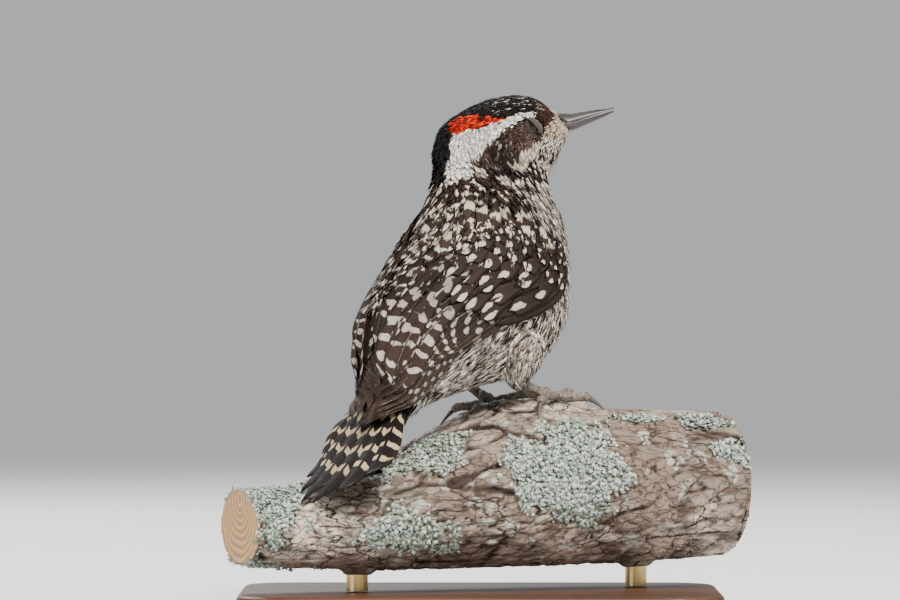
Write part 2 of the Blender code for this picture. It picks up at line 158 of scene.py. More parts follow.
def merged_copy(names, grow=0.0):
    """A bmesh of copies of CAD nodes, each merged and grown outward."""
    joined = bmesh.new()
    for name in names:
        shape = bmesh.new()
        shape.from_mesh(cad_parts[name].data)
        bmesh.ops.remove_doubles(shape, verts=shape.verts, dist=1e-6)
        shape.normal_update()
        for vert in shape.verts:
            vert.co += vert.normal * grow * MM
        step = bpy.data.meshes.new("step")
        shape.to_mesh(step)
        joined.from_mesh(step)
        shape.free()
        bpy.data.meshes.remove(step)
    return joined


def tree_of(names):
    """The faces of some CAD nodes, for finding places on them."""
    shape = merged_copy(names)
    tree = BVHTree.FromBMesh(shape)
    shape.free()
    return tree


def add_piece(name, mesh, replaced=()):
    piece = bpy.data.objects.new(name, mesh)
    bpy.context.scene.collection.objects.link(piece)
    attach(piece, "root")
    if replaced:
        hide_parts(*replaced)
    return piece


def remeshed(shape, voxel):
    """The mesh of a shape remade as one even closed surface."""
    rough = bpy.data.meshes.new("rough")
    shape.to_mesh(rough)
    shape.free()
    holder = bpy.data.objects.new("holder", rough)
    bpy.context.scene.collection.objects.link(holder)
    remake = holder.modifiers.new("remake", "REMESH")
    remake.mode = "VOXEL"
    remake.voxel_size = voxel * MM
    graph = bpy.context.evaluated_depsgraph_get()
    mesh = bpy.data.meshes.new_from_object(holder.evaluated_get(graph))
    bpy.data.objects.remove(holder)
    bpy.data.meshes.remove(rough)
    return mesh


def vertex_places(mesh):
    places = np.empty(len(mesh.vertices) * 3)
    mesh.vertices.foreach_get("co", places)
    return places.reshape(-1, 3) / MM


def vertex_outward(mesh):
    ways = np.empty(len(mesh.vertices) * 3)
    mesh.vertex_normals.foreach_get("vector", ways)
    return ways.reshape(-1, 3)


def move_vertices(mesh, places):
    mesh.vertices.foreach_set("co", (places * MM).ravel())
    mesh.update()


def smoothed(mesh, rounds, factor=0.5):
    shape = bmesh.new()
    shape.from_mesh(mesh)
    for _ in range(rounds):
        bmesh.ops.smooth_vert(
            shape, verts=shape.verts, factor=factor,
            use_axis_x=True, use_axis_y=True, use_axis_z=True,
        )
    shape.to_mesh(mesh)
    shape.free()


def away_from_bill(points):
    return np.linalg.norm(points - (EYE + BILL_FROM_EYE), axis=-1)


def coat_depth(points):
    """How far the skin lies inside the solids: least round the bill and eyes."""
    return COAT_LEAST + COAT_MORE * smooth_step(*COAT_GAINS, away_from_bill(points))


skin_mesh = remeshed(merged_copy(FLESH, CLOSE_GAPS), SKIN_VOXEL)
smoothed(skin_mesh, 3)
skin_points = vertex_places(skin_mesh)
skin_inward = (coat_depth(skin_points) + CLOSE_GAPS)[:, None]
move_vertices(skin_mesh, skin_points - vertex_outward(skin_mesh) * skin_inward)
skin_mesh.shade_smooth()
skin_mesh.name = "skin"
add_piece("skin", skin_mesh, FLESH)

# ---------------------------------------------------------------------------
# Markings of the bird, as a dyer would mix them. The head's patches are
# outlines in the head's upright plane, as (forward, up) from the eye, and lie
# alike on both sides. The rest follows from the place on the body.
INK = (25, 18, 16)
NAPE_INK = (16, 12, 12)
UMBER = (44, 32, 27)
CHEEK_UMBER = (68, 54, 48)
RUFOUS = (58, 37, 28)
SCARLET = (198, 30, 8)
ORANGE = (214, 70, 18)
WHITE = (226, 222, 214)
CREAM = (190, 179, 163)
LORE_CREAM = (184, 169, 149)
BREAST_WHITE = (206, 198, 187)
EYE_GREY = (34, 26, 23)
EAR_COVERTS = (
    (-6.2, -0.2), (-2.8, 1.4), (1.5, -2.0), (2.9, -3.6), (0.5, -4.8), (-1.3, -6.4), (-4.3, -9.0),
    (-6.3, -11.2), (-10.0, -12.6), (-15.8, -12.4), (-17.2, -9.3), (-12.5, -5.5), (-9.0, -2.4),
)
MALAR_SPOT = ((-7.4, -11.6), (-4.6, -11.9), (-1.6, -12.2), (-1.8, -14.4), (-6.8, -13.8))
HEAD_PATCHES = {
    # from over the eye, down behind the ear coverts
    "stripe": (WHITE, (
        (1.5, 4.3), (-3.4, 3.4), (-7.5, 2.1), (-12.0, 1.0), (-16.4, -0.9), (-21.8, -1.9), (-22.8, -6.0),
        (-23.6, -15.4), (-15.6, -14.8), (-16.2, -12.5), (-17.0, -9.5), (-12.3, -5.4), (-9.0, -2.2),
        (-6.0, 0.0), (-2.8, 2.1), (0.5, 2.4))),
    # on the side of the hind crown
    "scarlet": (SCARLET, (
        (-24.0, 0.4), (-20.0, 2.7), (-14.0, 3.3), (-7.4, 2.1), (-9.5, 1.0), (-14.0, 0.2), (-16.4, -0.8),
        (-21.6, -1.7))),
    "moustache": (CREAM, (
        (0.9, -4.4), (3.4, -4.0), (2.0, -7.4), (0.0, -9.6), (-2.0, -12.0), (-6.6, -12.0), (-6.2, -11.2),
        (-4.3, -9.0), (-1.3, -6.4))),
    # down to the lores
    "forehead": (RUFOUS, ((0.7, 4.2), (1.6, 9.0), (6.4, 4.2), (5.9, 2.2), (3.7, -0.4), (2.3, 1.8))),
    # pale bristles round the bill
    "lores": (LORE_CREAM, (
        (3.7, -0.4), (5.9, 2.2), (6.2, 4.0), (12.0, 4.0), (11.0, -5.0), (6.5, -4.0), (3.4, -4.2),
        (2.6, -2.8))),
}


def tint(colour):
    """A paint's red, green and blue, from 0 to 255, as the light it sends back."""
    share = np.asarray(colour, float) / 255
    return np.where(share > 0.04045, ((share + 0.055) / 1.055) ** 2.4, share / 12.92)


def inside(outline, across, up):
    """Which points lie inside an outline."""
    corners = np.array(outline)
    within = np.zeros(across.shape, bool)
    for (x0, y0), (x1, y1) in zip(corners, np.roll(corners, -1, axis=0)):
        if y0 != y1:
            crossing = (y0 > up) != (y1 > up)
            within ^= crossing & (across < (x1 - x0) * (up - y0) / (y1 - y0) + x0)
    return within


def mottle(points, size, seed):
    """Soft blotches of about a size, as numbers round 0, at points."""
    draw = np.random.default_rng(seed)
    ways = draw.normal(0.0, 1.0, (3, 16)) * pi / (1.7 * size)
    return np.sin(points @ ways + draw.uniform(0.0, 2 * pi, 16)).sum(axis=-1) / 4


def body_tints(points, place, angle, draw):
    """The ground colour of the coat at points on the bird."""
    count = len(points)
    wobble = draw.normal(0.0, 0.25, (2, count))
    forward = points[:, 0] - EYE[0] + wobble[0]
    up = points[:, 2] - EYE[2] + wobble[1]
    blotch = mottle(points, 1.2, 7)
    chance = draw.random(count)
    colours = np.empty((count, 3))
    colours[:] = tint(INK)
    within = {}
    for word, (paint, outline) in HEAD_PATCHES.items():
        within[word] = inside(outline, forward, up)
        colours[within[word]] = tint(paint)
    colours[within["forehead"] & (chance < 0.3)] = tint(UMBER)
    colours[within["lores"] & (chance < 0.16)] = tint(CHEEK_UMBER)
    colours[within["scarlet"] & (chance < 0.2)] = tint(INK)
    colours[within["scarlet"] & (chance > 0.8)] = tint(ORANGE)
    # ear coverts: paler in front, dark with white flecks behind and below
    cheek = inside(EAR_COVERTS, forward, up)
    behind = smooth_step(5.0, 12.0, -forward - 0.4 * up)
    shade = 1.1 + 0.5 * blotch - 0.65 * behind
    colours[cheek] = tint(CHEEK_UMBER) * np.clip(shade, 0.3, 1.7)[cheek, None]
    colours[cheek & (chance < 0.16 * behind)] = tint(CREAM) * 0.45
    colours[inside(MALAR_SPOT, forward, up)] = tint(INK)
    edge = -22.7 + 0.14 * np.minimum(up + 4.0, 0.0)
    nape = (forward < edge + 0.5 * wobble[0]) & (up > -16.5)
    colours[nape] = tint(NAPE_INK)
    # chin, throat and breast: pale, streaked with dark feathers
    throat = (up < -3.6) & (forward > 3.0 + (up + 4.0) * 0.42) & (place > 8.4)
    dark = chance + 0.25 * blotch < 0.42
    colours[throat] = tint(BREAST_WHITE)
    colours[throat & dark] = tint(UMBER)
    # neck: cream among the dark; back: dark; sides and underparts: pale
    low = (place < 8.9) | ((up < -15.5) & (forward < 3.0))
    below = np.abs(np.degrees(angle)) > np.interp(place, (5.0, 6.5), (76, 92)) + 10 * wobble[1]
    neck = low & ~nape & ~throat & ~(within["stripe"] & (place > 7.7))
    colours[neck] = tint(UMBER)
    patchy = smooth_step(6.2, 7.6, place) * (chance + 0.55 * blotch)
    colours[neck & (patchy > 0.62)] = tint(CREAM)
    under = neck & below
    colours[under] = tint(BREAST_WHITE) * (0.9 + 0.14 * mottle(points, 4.0, 8))[under, None]
    colours[under & (chance + 0.35 * blotch < 0.17)] = tint(CHEEK_UMBER)
    return colours


def nearest_sections(points):
    """The places and angles on the body that lie nearest to points."""
    places, angles = np.meshgrid(np.linspace(0.0, 16.0, 129), np.linspace(-pi, pi, 97))
    grid = body_at(places, angles).reshape(-1, 3)
    tree = KDTree(len(grid))
    for i, point in enumerate(grid):
        tree.insert(point, i)
    tree.balance()
    found = [tree.find(point)[1] for point in points]
    return places.ravel()[found], angles.ravel()[found]


def set_colours(mesh, name, colours):
    """Write one colour for each vertex."""
    layer = mesh.color_attributes.new(name, "FLOAT_COLOR", "POINT")
    values = np.ones((len(colours), 4))
    values[:, : colours.shape[1]] = colours
    layer.data.foreach_set("color", values.ravel())


def socket_into(tree, value, socket):
    """Feed a node's input with a number, a paint or another node's output."""
    if isinstance(value, bpy.types.NodeSocket):
        tree.links.new(value, socket)
    elif isinstance(value, tuple):
        socket.default_value = (*tint(value), 1.0)
    else:
        socket.default_value = value


def node_of(tree, kind, *values, **settings):
    """A shader node with its settings made, and its first inputs fed in order."""
    node = tree.nodes.new("ShaderNode" + kind)
    for word, setting in settings.items():
        setattr(node, word, setting)
    for value, socket in zip(values, node.inputs):
        socket_into(tree, value, socket)
    return node


def set_inputs(node, **values):
    """Constant values for a node's inputs, by name."""
    for word, value in values.items():
        node.inputs[word.replace("_", " ")].default_value = value
    return node


def sum_of(tree, operation, *values, clamp=False):
    return node_of(tree, "Math", *values, operation=operation, use_clamp=clamp).outputs[0]


def product_of(tree, *values):
    return sum_of(tree, "MULTIPLY", *values)


def ramp_of(tree, value, low, high, start=0.0, end=1.0):
    """A soft step of a value from low to high."""
    return node_of(
        tree, "MapRange", value, low, high, start, end, interpolation_type="SMOOTHSTEP").outputs[0]


def blend_of(tree, share, first, second, kind="MIX"):
    node = node_of(tree, "Mix", share, data_type="RGBA", blend_type=kind)
    socket_into(tree, first, node.inputs[6])
    socket_into(tree, second, node.inputs[7])
    return node.outputs[2]


def place_of(tree):
    return node_of(tree, "TexCoord").outputs["Object"]


def stretched(tree, **changes):
    """Object places, scaled or turned before a texture reads them."""
    return set_inputs(node_of(tree, "Mapping", place_of(tree)), **changes).outputs[0]


def noise_of(tree, scale, detail=2.0, vector=None, roughness=0.5):
    node = node_of(tree, "TexNoise", place_of(tree) if vector is None else vector)
    return set_inputs(node, Scale=scale, Detail=detail, Roughness=roughness).outputs["Fac"]


def parts_of(tree, vector):
    return node_of(tree, "SeparateXYZ", vector).outputs


def colour_of(tree, name):
    return node_of(tree, "Attribute", attribute_name=name).outputs["Color"]


def new_material(name, roughness, specular=0.3):
    material = bpy.data.materials.new(name)
    material.use_nodes = True
    shader = material.node_tree.nodes["Principled BSDF"]
    shader.inputs["Roughness"].default_value = roughness
    shader.inputs["Specular IOR Level"].default_value = specular
    return material, material.node_tree, shader


def dress(tree, shader, colour, height, strength, distance):
    """Give a material its colour, and fine relief of a height."""
    tree.links.new(colour, shader.inputs["Base Color"])
    bump = node_of(tree, "Bump")
    set_inputs(bump, Strength=strength, Distance=distance)
    tree.links.new(height, bump.inputs["Height"])
    tree.links.new(bump.outputs["Normal"], shader.inputs["Normal"])


skin_points = vertex_places(skin_mesh)
skin_sections = nearest_sections(skin_points)
skin_draw = np.random.default_rng(5)
# the skin takes the coat's colours at half their brightness: painted shade, for it shows only deep in
# the gaps between the feathers
skin_tints = body_tints(skin_points, *skin_sections, skin_draw) * 0.5
from_eye = np.hypot(skin_points[:, 0] - EYE[0], skin_points[:, 2] - EYE[2])
skin_tints[(from_eye < 3.6) & (np.abs(skin_points[:, 1] - EYE[1]) > 5.0)] = tint(EYE_GREY)
set_colours(skin_mesh, "ground", skin_tints)
skin_material, skin_tree, skin_shader = new_material("skin", 0.8)
skin_grain = noise_of(skin_tree, 900.0, 4.0)
dress(
    skin_tree, skin_shader,
    blend_of(skin_tree, ramp_of(skin_tree, skin_grain, 0.3, 0.7), colour_of(skin_tree, "ground"),
             EYE_GREY),
    skin_grain, 0.5, 0.0003)
skin_mesh.materials.append(skin_material)

# ---------------------------------------------------------------------------
# Plumage, and how it is laid. Each feather is a thin, closed, cambered vane,
# narrow at its root under the coat and frayed at its tip, laid from the bill
# towards the tail so that the one nearer the bill lies on top.
PATCH = 0.003                   # width of a feather's place on its piece's map


def vane_places(tree):
    """Across the vane from -1 to 1, its size, along it from 0 to 1, and its chance."""
    parts = parts_of(tree, node_of(tree, "UVMap", uv_map="vane").outputs[0])
    across = sum_of(tree, "MULTIPLY_ADD", parts[0], 2.0, -1.0)
    chance = node_of(tree, "SeparateColor", colour_of(tree, "chance"))
    return across, sum_of(tree, "ABSOLUTE", across), parts[1], chance.outputs


def feather_material(name, marks, roughness=0.72, painted_root_shade=0.45, barbs=38.0):
    """Plumage whose ground and mark colours each feather brings with it, with painted shade towards each
    feather's root.
    """
    material, tree, shader = new_material(name, roughness, 0.14)
    across, side, along, chance = vane_places(tree)
    mask = product_of(tree, marks(tree, across, side, along, chance), chance[1])
    colour = blend_of(tree, mask, colour_of(tree, "ground"), colour_of(tree, "mark"))
    slant = sum_of(tree, "MULTIPLY_ADD", side, -0.35, along)
    lines = sum_of(tree, "SINE", product_of(tree, slant, barbs * pi))
    streaky = noise_of(tree, 900.0, 3.0)
    shade = sum_of(tree, "MULTIPLY_ADD", lines, 0.05, 0.78)
    shade = sum_of(tree, "MULTIPLY_ADD", streaky, 0.42, shade)
    # painted shade: each feather is darker towards its root, where it lies under the feathers above it
    shade = product_of(tree, shade, ramp_of(tree, along, 0.15, 0.7, painted_root_shade, 1.0))
    shade = product_of(tree, shade, ramp_of(tree, side, 0.03, 0.1, 0.8, 1.0))
    grey = node_of(tree, "CombineColor", shade, shade, shade)
    colour = blend_of(tree, 1.0, colour, grey.outputs[0], "MULTIPLY")
    height = sum_of(tree, "MULTIPLY_ADD", streaky, 0.8, product_of(tree, lines, 0.5))
    dress(tree, shader, colour, height, 0.35, 0.0002)
    return material


def vane_pattern(rows, columns):
    """A flat closed vane: its vertices as (across, along, face) and its faces."""
    shape = bmesh.new()
    bmesh.ops.create_grid(shape, x_segments=columns - 1, y_segments=rows - 1, size=1.0)
    for vert in shape.verts:
        vert.co.z = 0.0 if vert.is_boundary else 1.0
    under = bmesh.ops.duplicate(shape, geom=[*shape.verts, *shape.edges, *shape.faces])["geom"]
    verts = [part for part in under if isinstance(part, bmesh.types.BMVert)]
    faces = [part for part in under if isinstance(part, bmesh.types.BMFace)]
    bmesh.ops.scale(shape, vec=(1, 1, -1), verts=verts)
    bmesh.ops.reverse_faces(shape, faces=faces)
    bmesh.ops.remove_doubles(shape, verts=shape.verts, dist=1e-4)
    # across, along and outward are left-handed, so the faces run the other way round
    bmesh.ops.reverse_faces(shape, faces=shape.faces)
    shape.verts.index_update()
    places = np.array([vert.co[:] for vert in shape.verts])
    corners = np.array([[vert.index for vert in face.verts] for face in shape.faces])
    shape.free()
    return places, corners


def mesh_from(name, points, corners):
    """A smooth mesh of four-cornered faces."""
    mesh = bpy.data.meshes.new(name)
    mesh.vertices.add(len(points))
    mesh.vertices.foreach_set("co", (points * MM).ravel())
    mesh.loops.add(corners.size)
    mesh.loops.foreach_set("vertex_index", corners.ravel())
    mesh.polygons.add(len(corners))
    mesh.polygons.foreach_set("loop_start", np.arange(0, corners.size, 4))
    mesh.update(calc_edges=True)
    mesh.shade_smooth()
    return mesh


def add_map(mesh, name, corners, places):
    layer = mesh.uv_layers.new(name=name, do_init=False)
    layer.uv.foreach_set("vector", places[corners.ravel()].ravel())


def lay_vanes(name, lines, half, ground, mark, material, on_map, *, seed, columns=5,
              camber=0.3, thick=0.09, round_tip=0.6, fray=0.0, strength=1.0, patch=PATCH,
              replaced=(), slot=None):
    """One mesh of feathers. lines holds their centre lines with the directions
    across and outward at each row, half their half widths, and on_map their
    places on an unwrap of the body."""
    centre, across, outward = lines
    count, rows = half.shape
    places, corners = vane_pattern(rows, columns)
    x, share, face = places[:, 0], (places[:, 1] + 1) / 2, places[:, 2]
    row = np.rint(share * (rows - 1)).astype(int)
    column = np.rint((x + 1) / 2 * (columns - 1)).astype(int)
    draw = np.random.default_rng(seed)
    forward = unit(np.gradient(centre, axis=1))
    length = np.linalg.norm(centre[:, -1] - centre[:, 0], axis=-1)[:, None]
    wide = half.max(axis=1, keepdims=True)
    frays = draw.uniform(-1.0, 0.35, (count, columns))
    along = -round_tip * wide * x ** 2 * share ** 3 + fray * length * frays[:, column] * share ** 4
    width = half[:, row]
    points = (
        centre[:, row]
        + across[:, row] * (x * width)[..., None]
        + outward[:, row] * (thick / 2 * face - camber * width * x ** 2)[..., None]
        + forward[:, row] * along[..., None]
    )
    per = len(places)
    all_corners = (corners[None] + per * np.arange(count)[:, None, None]).reshape(-1, 4)
    mesh = mesh_from(name, points.reshape(-1, 3), all_corners)
    vane_map = np.tile(np.stack([(x + 1) / 2, share], -1), (count, 1))
    add_map(mesh, "vane", all_corners, vane_map)
    small = (vane_map.reshape(count, per, 2) - 0.5) * patch
    low, high = on_map.min(axis=0), on_map.max(axis=0)
    room = (on_map - low) / np.maximum(high - low, 1e-6) * (1 - 2 * patch) + patch
    add_map(mesh, "OFBake", all_corners, (room[:, None] + small).reshape(-1, 2))
    chances = np.stack([draw.random(count), np.broadcast_to(strength, count), draw.random(count)], -1)
    for word, colours in (("ground", ground), ("mark", mark), ("chance", chances)):
        set_colours(mesh, word, np.repeat(np.broadcast_to(colours, (count, 3)), per, axis=0))
    mesh.materials.append(material)
    return add_piece(name, mesh, replaced)


def roots_on_body(first, last, gap, angles, draw, stray=0.25):
    """Places and angles of feathers in staggered rows, from the head's side on."""
    low, high = radians(angles[0]), radians(angles[1])
    middle = (low + high) / 2
    spans = body_at(np.linspace(first, last, 200), middle)
    run = np.concatenate([[0.0], np.cumsum(np.linalg.norm(np.diff(spans, axis=0), axis=1))])
    found = []
    for i, along in enumerate(np.arange(gap / 2, run[-1], gap)):
        place = np.interp(along, run, np.linspace(first, last, 200))
        fine = np.linspace(low, high, 121)
        ring = body_at(place, fine)
        girth = np.concatenate([[0.0], np.cumsum(np.linalg.norm(np.diff(ring, axis=0), axis=1))])
        stops = np.arange(gap * (0.25 + 0.5 * (i % 2)), girth[-1], gap)
        stops = stops + draw.normal(0.0, stray * gap, stops.shape)
        angle = np.interp(stops, girth, fine)
        here = np.full(len(stops), place) + draw.normal(0.0, stray, len(stops)) * gap / 7.0
        found.append(np.stack([here, angle], -1))
    found = np.concatenate(found)
    return np.clip(found[:, 0], first, last), found[:, 1]


def lines_on_body(place, angle, length, depth, lift, rows=6, drift=0.0):
    """Centre lines that run tailward over the body, from under the coat to its top."""
    share = np.linspace(0.0, 1.0, rows)
    ahead = body_at(place - 0.05, angle) - body_at(place + 0.05, angle)
    pace = np.linalg.norm(ahead, axis=-1) / 0.1
    places = place[:, None] - share * (length / pace)[:, None]
    angles = angle[:, None] + np.broadcast_to(drift, place.shape)[:, None] * share
    depth, lift = (np.broadcast_to(v, place.shape)[:, None] for v in (depth, lift))
    proud = -depth + (depth + lift) * share ** 0.75
    centre = body_at(places, angles, proud)
    outward, _ = body_ways(places, angles, proud)
    forward = unit(np.gradient(centre, axis=1))
    across = unit(np.cross(outward, forward))
    return centre, across, unit(np.cross(forward, across))


def leaf_widths(wide, rows, root=0.3, widest=0.6, tip=0.3):
    """Half widths along a feather: narrow at its root, widest before its tip."""
    share = np.linspace(0.0, 1.0, rows)
    rise = root + (1 - root) * smooth_step(0.0, widest, share)
    fall = 1 - (1 - tip) * np.clip((share - widest) / (1 - widest), 0, 1) ** 2.2
    return np.asarray(wide)[:, None] / 2 * rise * fall


def body_map(place, angle):
    """Places on the body's own unwrap: round it and along it."""
    return np.stack([angle / (2 * pi) + 0.5, place / (len(BODY) - 1)], -1)


# ---------------------------------------------------------------------------
# Head plumage: short, narrow feathers, smallest round the bill and eyes. The
# fore crown and forehead are flecked with fine white streaks.
HEAD_GAP = 0.64
LID_SLANT = radians(-45.0)
LID_MIDDLE = (0.25, 0.2)          # from the eye's, along the slit and across it
LID_HALF = (3.0, 1.95)


def shaft_streaks(tree, across, side, along, chance):
    """A streak down the middle, which tapers to both ends."""
    room = ramp_of(tree, along, 0.15, 0.6, 0.0, 0.14)
    edge = sum_of(tree, "ADD", room, 0.13)
    return ramp_of(tree, side, room, edge, 1.0, 0.0)


def lid_reach(points):
    """How far points lie from the eye's middle, where 1 is the rim of its lids."""
    forward, up = points[..., 0] - EYE[0], points[..., 2] - EYE[2]
    along = forward * cos(LID_SLANT) + up * sin(LID_SLANT) - LID_MIDDLE[0]
    across = up * cos(LID_SLANT) - forward * sin(LID_SLANT) - LID_MIDDLE[1]
    beside = np.abs(points[..., 1] - EYE[1]) > 5.0
    return np.where(beside, np.hypot(along / LID_HALF[0], across / LID_HALF[1]), 9.0)


head_draw = np.random.default_rng(11)
head_place, head_angle = roots_on_body(9.2, 16.0, HEAD_GAP, (-180, 180), head_draw, 0.3)
head_points = body_at(head_place, head_angle)
from_bill = away_from_bill(head_points)
eye_away = np.hypot(head_points[:, 0] - EYE[0], head_points[:, 2] - EYE[2])
head_length = 1.8 + 3.0 * smooth_step(3.0, 26.0, from_bill)
head_length *= 0.5 + 0.5 * smooth_step(2.6, 7.0, eye_away)
head_length *= head_draw.uniform(0.85, 1.2, len(head_place))
head_lines = lines_on_body(
    head_place, head_angle, head_length, coat_depth(head_points) + 0.1,
    head_draw.normal(0.05, 0.1, len(head_place)), rows=4,
    drift=head_draw.normal(0.0, 0.06, len(head_place)),
)
keep = (lid_reach(head_lines[0]) > (1.0, 0.97, 0.93, 0.88)).all(axis=1)
keep &= head_place < np.interp(np.abs(head_angle), (1.2, 1.9), (15.1, 15.75))
head_place, head_angle, head_length = head_place[keep], head_angle[keep], head_length[keep]
head_lines = [part[keep] for part in head_lines]
head_ground = body_tints(head_lines[0][:, 2], head_place, head_angle, head_draw)
head_ground *= head_draw.uniform(0.86, 1.1, (len(head_place), 1))
tip_points = head_lines[0][:, -1] - EYE
fore = (tip_points[:, 2] > 2.6) & (np.abs(tip_points[:, 0] + 5.5) < 7.5)
fleck = fore & (head_draw.random(len(fore)) < 0.17)
head_half = leaf_widths(head_length * 0.27 + 0.2, 4, root=0.4, tip=0.12)
lay_vanes(
    "head_plumage", head_lines, head_half, head_ground, tint(WHITE),
    feather_material("head_plumage", shaft_streaks, painted_root_shade=0.72, barbs=14.0),
    body_map(head_place, head_angle), seed=12, columns=3, camber=0.22, thick=0.06,
    round_tip=0.8, fray=0.3, strength=fleck * 0.85, slot="crown_plumage",
)


# ---------------------------------------------------------------------------
# Body plumage: soft mottled neck, barred mantle, pale breast streaked with
# brown, and long loose feathers on flanks, belly and thighs.
BAR_COUNT = 1.9


def bars(tree, across, side, along, chance):
    """Wavering pale bars across the feather."""
    waver = noise_of(tree, 480.0, 4.0)
    rows = sum_of(tree, "MULTIPLY_ADD", along, BAR_COUNT, chance[0])
    rows = sum_of(tree, "MULTIPLY_ADD", waver, 0.9, rows)
    rows = sum_of(tree, "MULTIPLY_ADD", side, -0.12, rows)
    wave = sum_of(tree, "SINE", product_of(tree, rows, 2 * pi))
    wide = noise_of(tree, 150.0, 1.0)
    wave = sum_of(tree, "MULTIPLY_ADD", wide, 2.4, wave)
    wave = sum_of(tree, "MULTIPLY_ADD", noise_of(tree, 1100.0, 2.0), 1.3, wave)
    return ramp_of(tree, wave, 1.8, 2.5)


def spread(draw, low, high, count):
    """Shares between two, one for each feather."""
    return draw.uniform(low, high, count)


def both_sides(first, last, gap, angles, draw):
    """Roots on the right and on the left between two angles from the back."""
    parts = [roots_on_body(first, last, gap, span, draw) for span in
             (angles, (-angles[1], -angles[0]))]
    return tuple(np.concatenate(rows) for rows in zip(*parts))


def add_body_plumage(name, roots, length, width, depth, lift, material, *, seed, mark=UMBER,
                     strength=1.0, rows=6, columns=7, slot="pale_plumage", **shape):
    """A piece of feathers from roots on the body, each a little its own."""
    draw = np.random.default_rng(seed)
    place, angle = roots
    count = len(place)
    long = length * spread(draw, 0.85, 1.15, count)
    lines = lines_on_body(
        place, angle, long, depth * spread(draw, 0.9, 1.1, count),
        draw.normal(lift, 0.18, count), rows, draw.normal(0.0, 0.05, count),
    )
    ground = body_tints(lines[0][:, -2], place, angle, draw) * spread(draw, 0.82, 1.12, (count, 1))
    half = leaf_widths(width * spread(draw, 0.85, 1.15, count), rows)
    return lay_vanes(
        name, lines, half, ground, tint(mark), material, body_map(place, angle),
        seed=seed + 1, columns=columns, strength=strength, slot=slot, **shape,
    )


# Wings, from tip to wrist: body section, where the wing begins and ends round the
# body in degrees, and its thickness.
WING = np.array((
    (-0.9, 12, 24, 0.7), (-0.4, 5, 56, 1.2), (0.4, 4, 86, 1.8), (1.3, 4, 84, 2.2),
    (2.2, 5, 79, 2.5), (3.0, 8, 85, 2.6), (4.0, 14, 96, 2.6), (5.0, 26, 115, 2.5),
    (5.7, 44, 122, 2.2), (6.3, 66, 116, 1.2),
))


def clear_of_wings(place, angle):
    """Roots that the folded wings leave in the open."""
    from_back = np.abs(np.degrees(angle))
    inner = np.interp(place, WING[:, 0], WING[:, 1]) + 16
    outer = np.interp(place, WING[:, 0], WING[:, 2]) - 7
    open_air = (from_back < inner) | (from_back > outer) | (place > 6.3)
    return place[open_air], angle[open_air]


neck_draw = np.random.default_rng(21)
neck_material = feather_material("neck_plumage", shaft_streaks, painted_root_shade=0.66, barbs=18.0)
neck_roots = roots_on_body(6.6, 9.5, 1.05, (-180, 180), neck_draw)
add_body_plumage(
    "neck_plumage", neck_roots, 5.0, 1.7, 1.9, 0.15, neck_material, seed=22, columns=3,
    fray=0.35, camber=0.22, strength=(neck_draw.random(len(neck_roots[0])) < 0.2) * 0.7,
    slot="crown_plumage",
)

mantle_draw = np.random.default_rng(31)
mantle_roots = roots_on_body(0.1, 7.3, 1.9, (-84, 84), mantle_draw, 0.4)
mantle_roots = clear_of_wings(*mantle_roots)
rump_side = (mantle_roots[0] < 1.2) & (np.abs(mantle_roots[1]) > 0.9)
mantle_roots = mantle_roots[0][~rump_side], mantle_roots[1][~rump_side]
# the pale bars fade out towards the rump: partly the plumage's own, partly painted shade for the furrow
# between the wings there, which lies in deep shade
mantle_strength = 0.1 + 0.8 * smooth_step(2.5, 4.5, mantle_roots[0])
# along the midline the mantle fills the furrow between the wings
mantle_lift = 1.5 * np.exp(-(mantle_roots[1] / 0.6) ** 2) * (
    (0.3 + 0.7 * smooth_step(1.0, 2.8, mantle_roots[0])) * (1 - smooth_step(4.2, 6.0, mantle_roots[0])))
mantle = add_body_plumage(
    "mantle_plumage", mantle_roots, 8.2, 3.0, 2.1 - mantle_lift * 0.6, 0.1 + mantle_lift,
    feather_material("mantle_plumage", bars, painted_root_shade=0.6, barbs=22.0), seed=32, mark=CREAM,
    fray=0.3, camber=0.16, strength=mantle_strength, slot="dark_plumage",
)

breast_draw = np.random.default_rng(41)
breast_material = feather_material("breast_plumage", shaft_streaks, painted_root_shade=0.7, barbs=16.0)
breast_roots = clear_of_wings(*both_sides(4.6, 8.4, 1.3, (78, 180), breast_draw))
add_body_plumage(
    "breast_plumage", breast_roots, 6.6, 1.9, 2.1, 0.2, breast_material, seed=42, fray=0.35,
    columns=3, camber=0.2, mark=CHEEK_UMBER,
    strength=(breast_draw.random(len(breast_roots[0])) < 0.5) * 0.75,
)

belly_draw = np.random.default_rng(51)
belly_roots = clear_of_wings(*both_sides(0.15, 5.0, 1.3, (74, 180), belly_draw))
over_tail = (belly_roots[0] < 1.0) & (np.abs(belly_roots[1]) < 2.1)
belly_roots = belly_roots[0][~over_tail], belly_roots[1][~over_tail]
add_body_plumage(
    "belly_plumage", belly_roots, 8.4, 1.8, 2.1, 0.3, breast_material, seed=52, fray=0.45,
    columns=3, camber=0.2, mark=CHEEK_UMBER,
    strength=(belly_draw.random(len(belly_roots[0])) < 0.4) * 0.68,
)

# Loose barbs: thin strands that stand free of the soft feathers' edges.
loose_draw = np.random.default_rng(53)
loose_roots = [both_sides(1.0, 8.2, 2.0, (80, 180), loose_draw),
               both_sides(4.2, 7.0, 2.6, (10, 80), loose_draw)]
loose_roots = tuple(np.concatenate(rows) for rows in zip(*loose_roots))
add_body_plumage(
    "loose_barbs", loose_roots, 8.0, 0.3, 1.0, 0.55, breast_material, seed=54, fray=0.5,
    rows=5, columns=3, strength=0.0,
)


# ---------------------------------------------------------------------------
# Thigh plumage: short pale trousers over the shank's top, and a fringe of
# loose barbs where the belly's feathers hang free.
THIGH_AIM = bird_way(1.0, 0.0, -7.5)
BELLY_AIM = bird_way(-6.0, 0.0, -6.0)
THIGH_GAP = 1.05


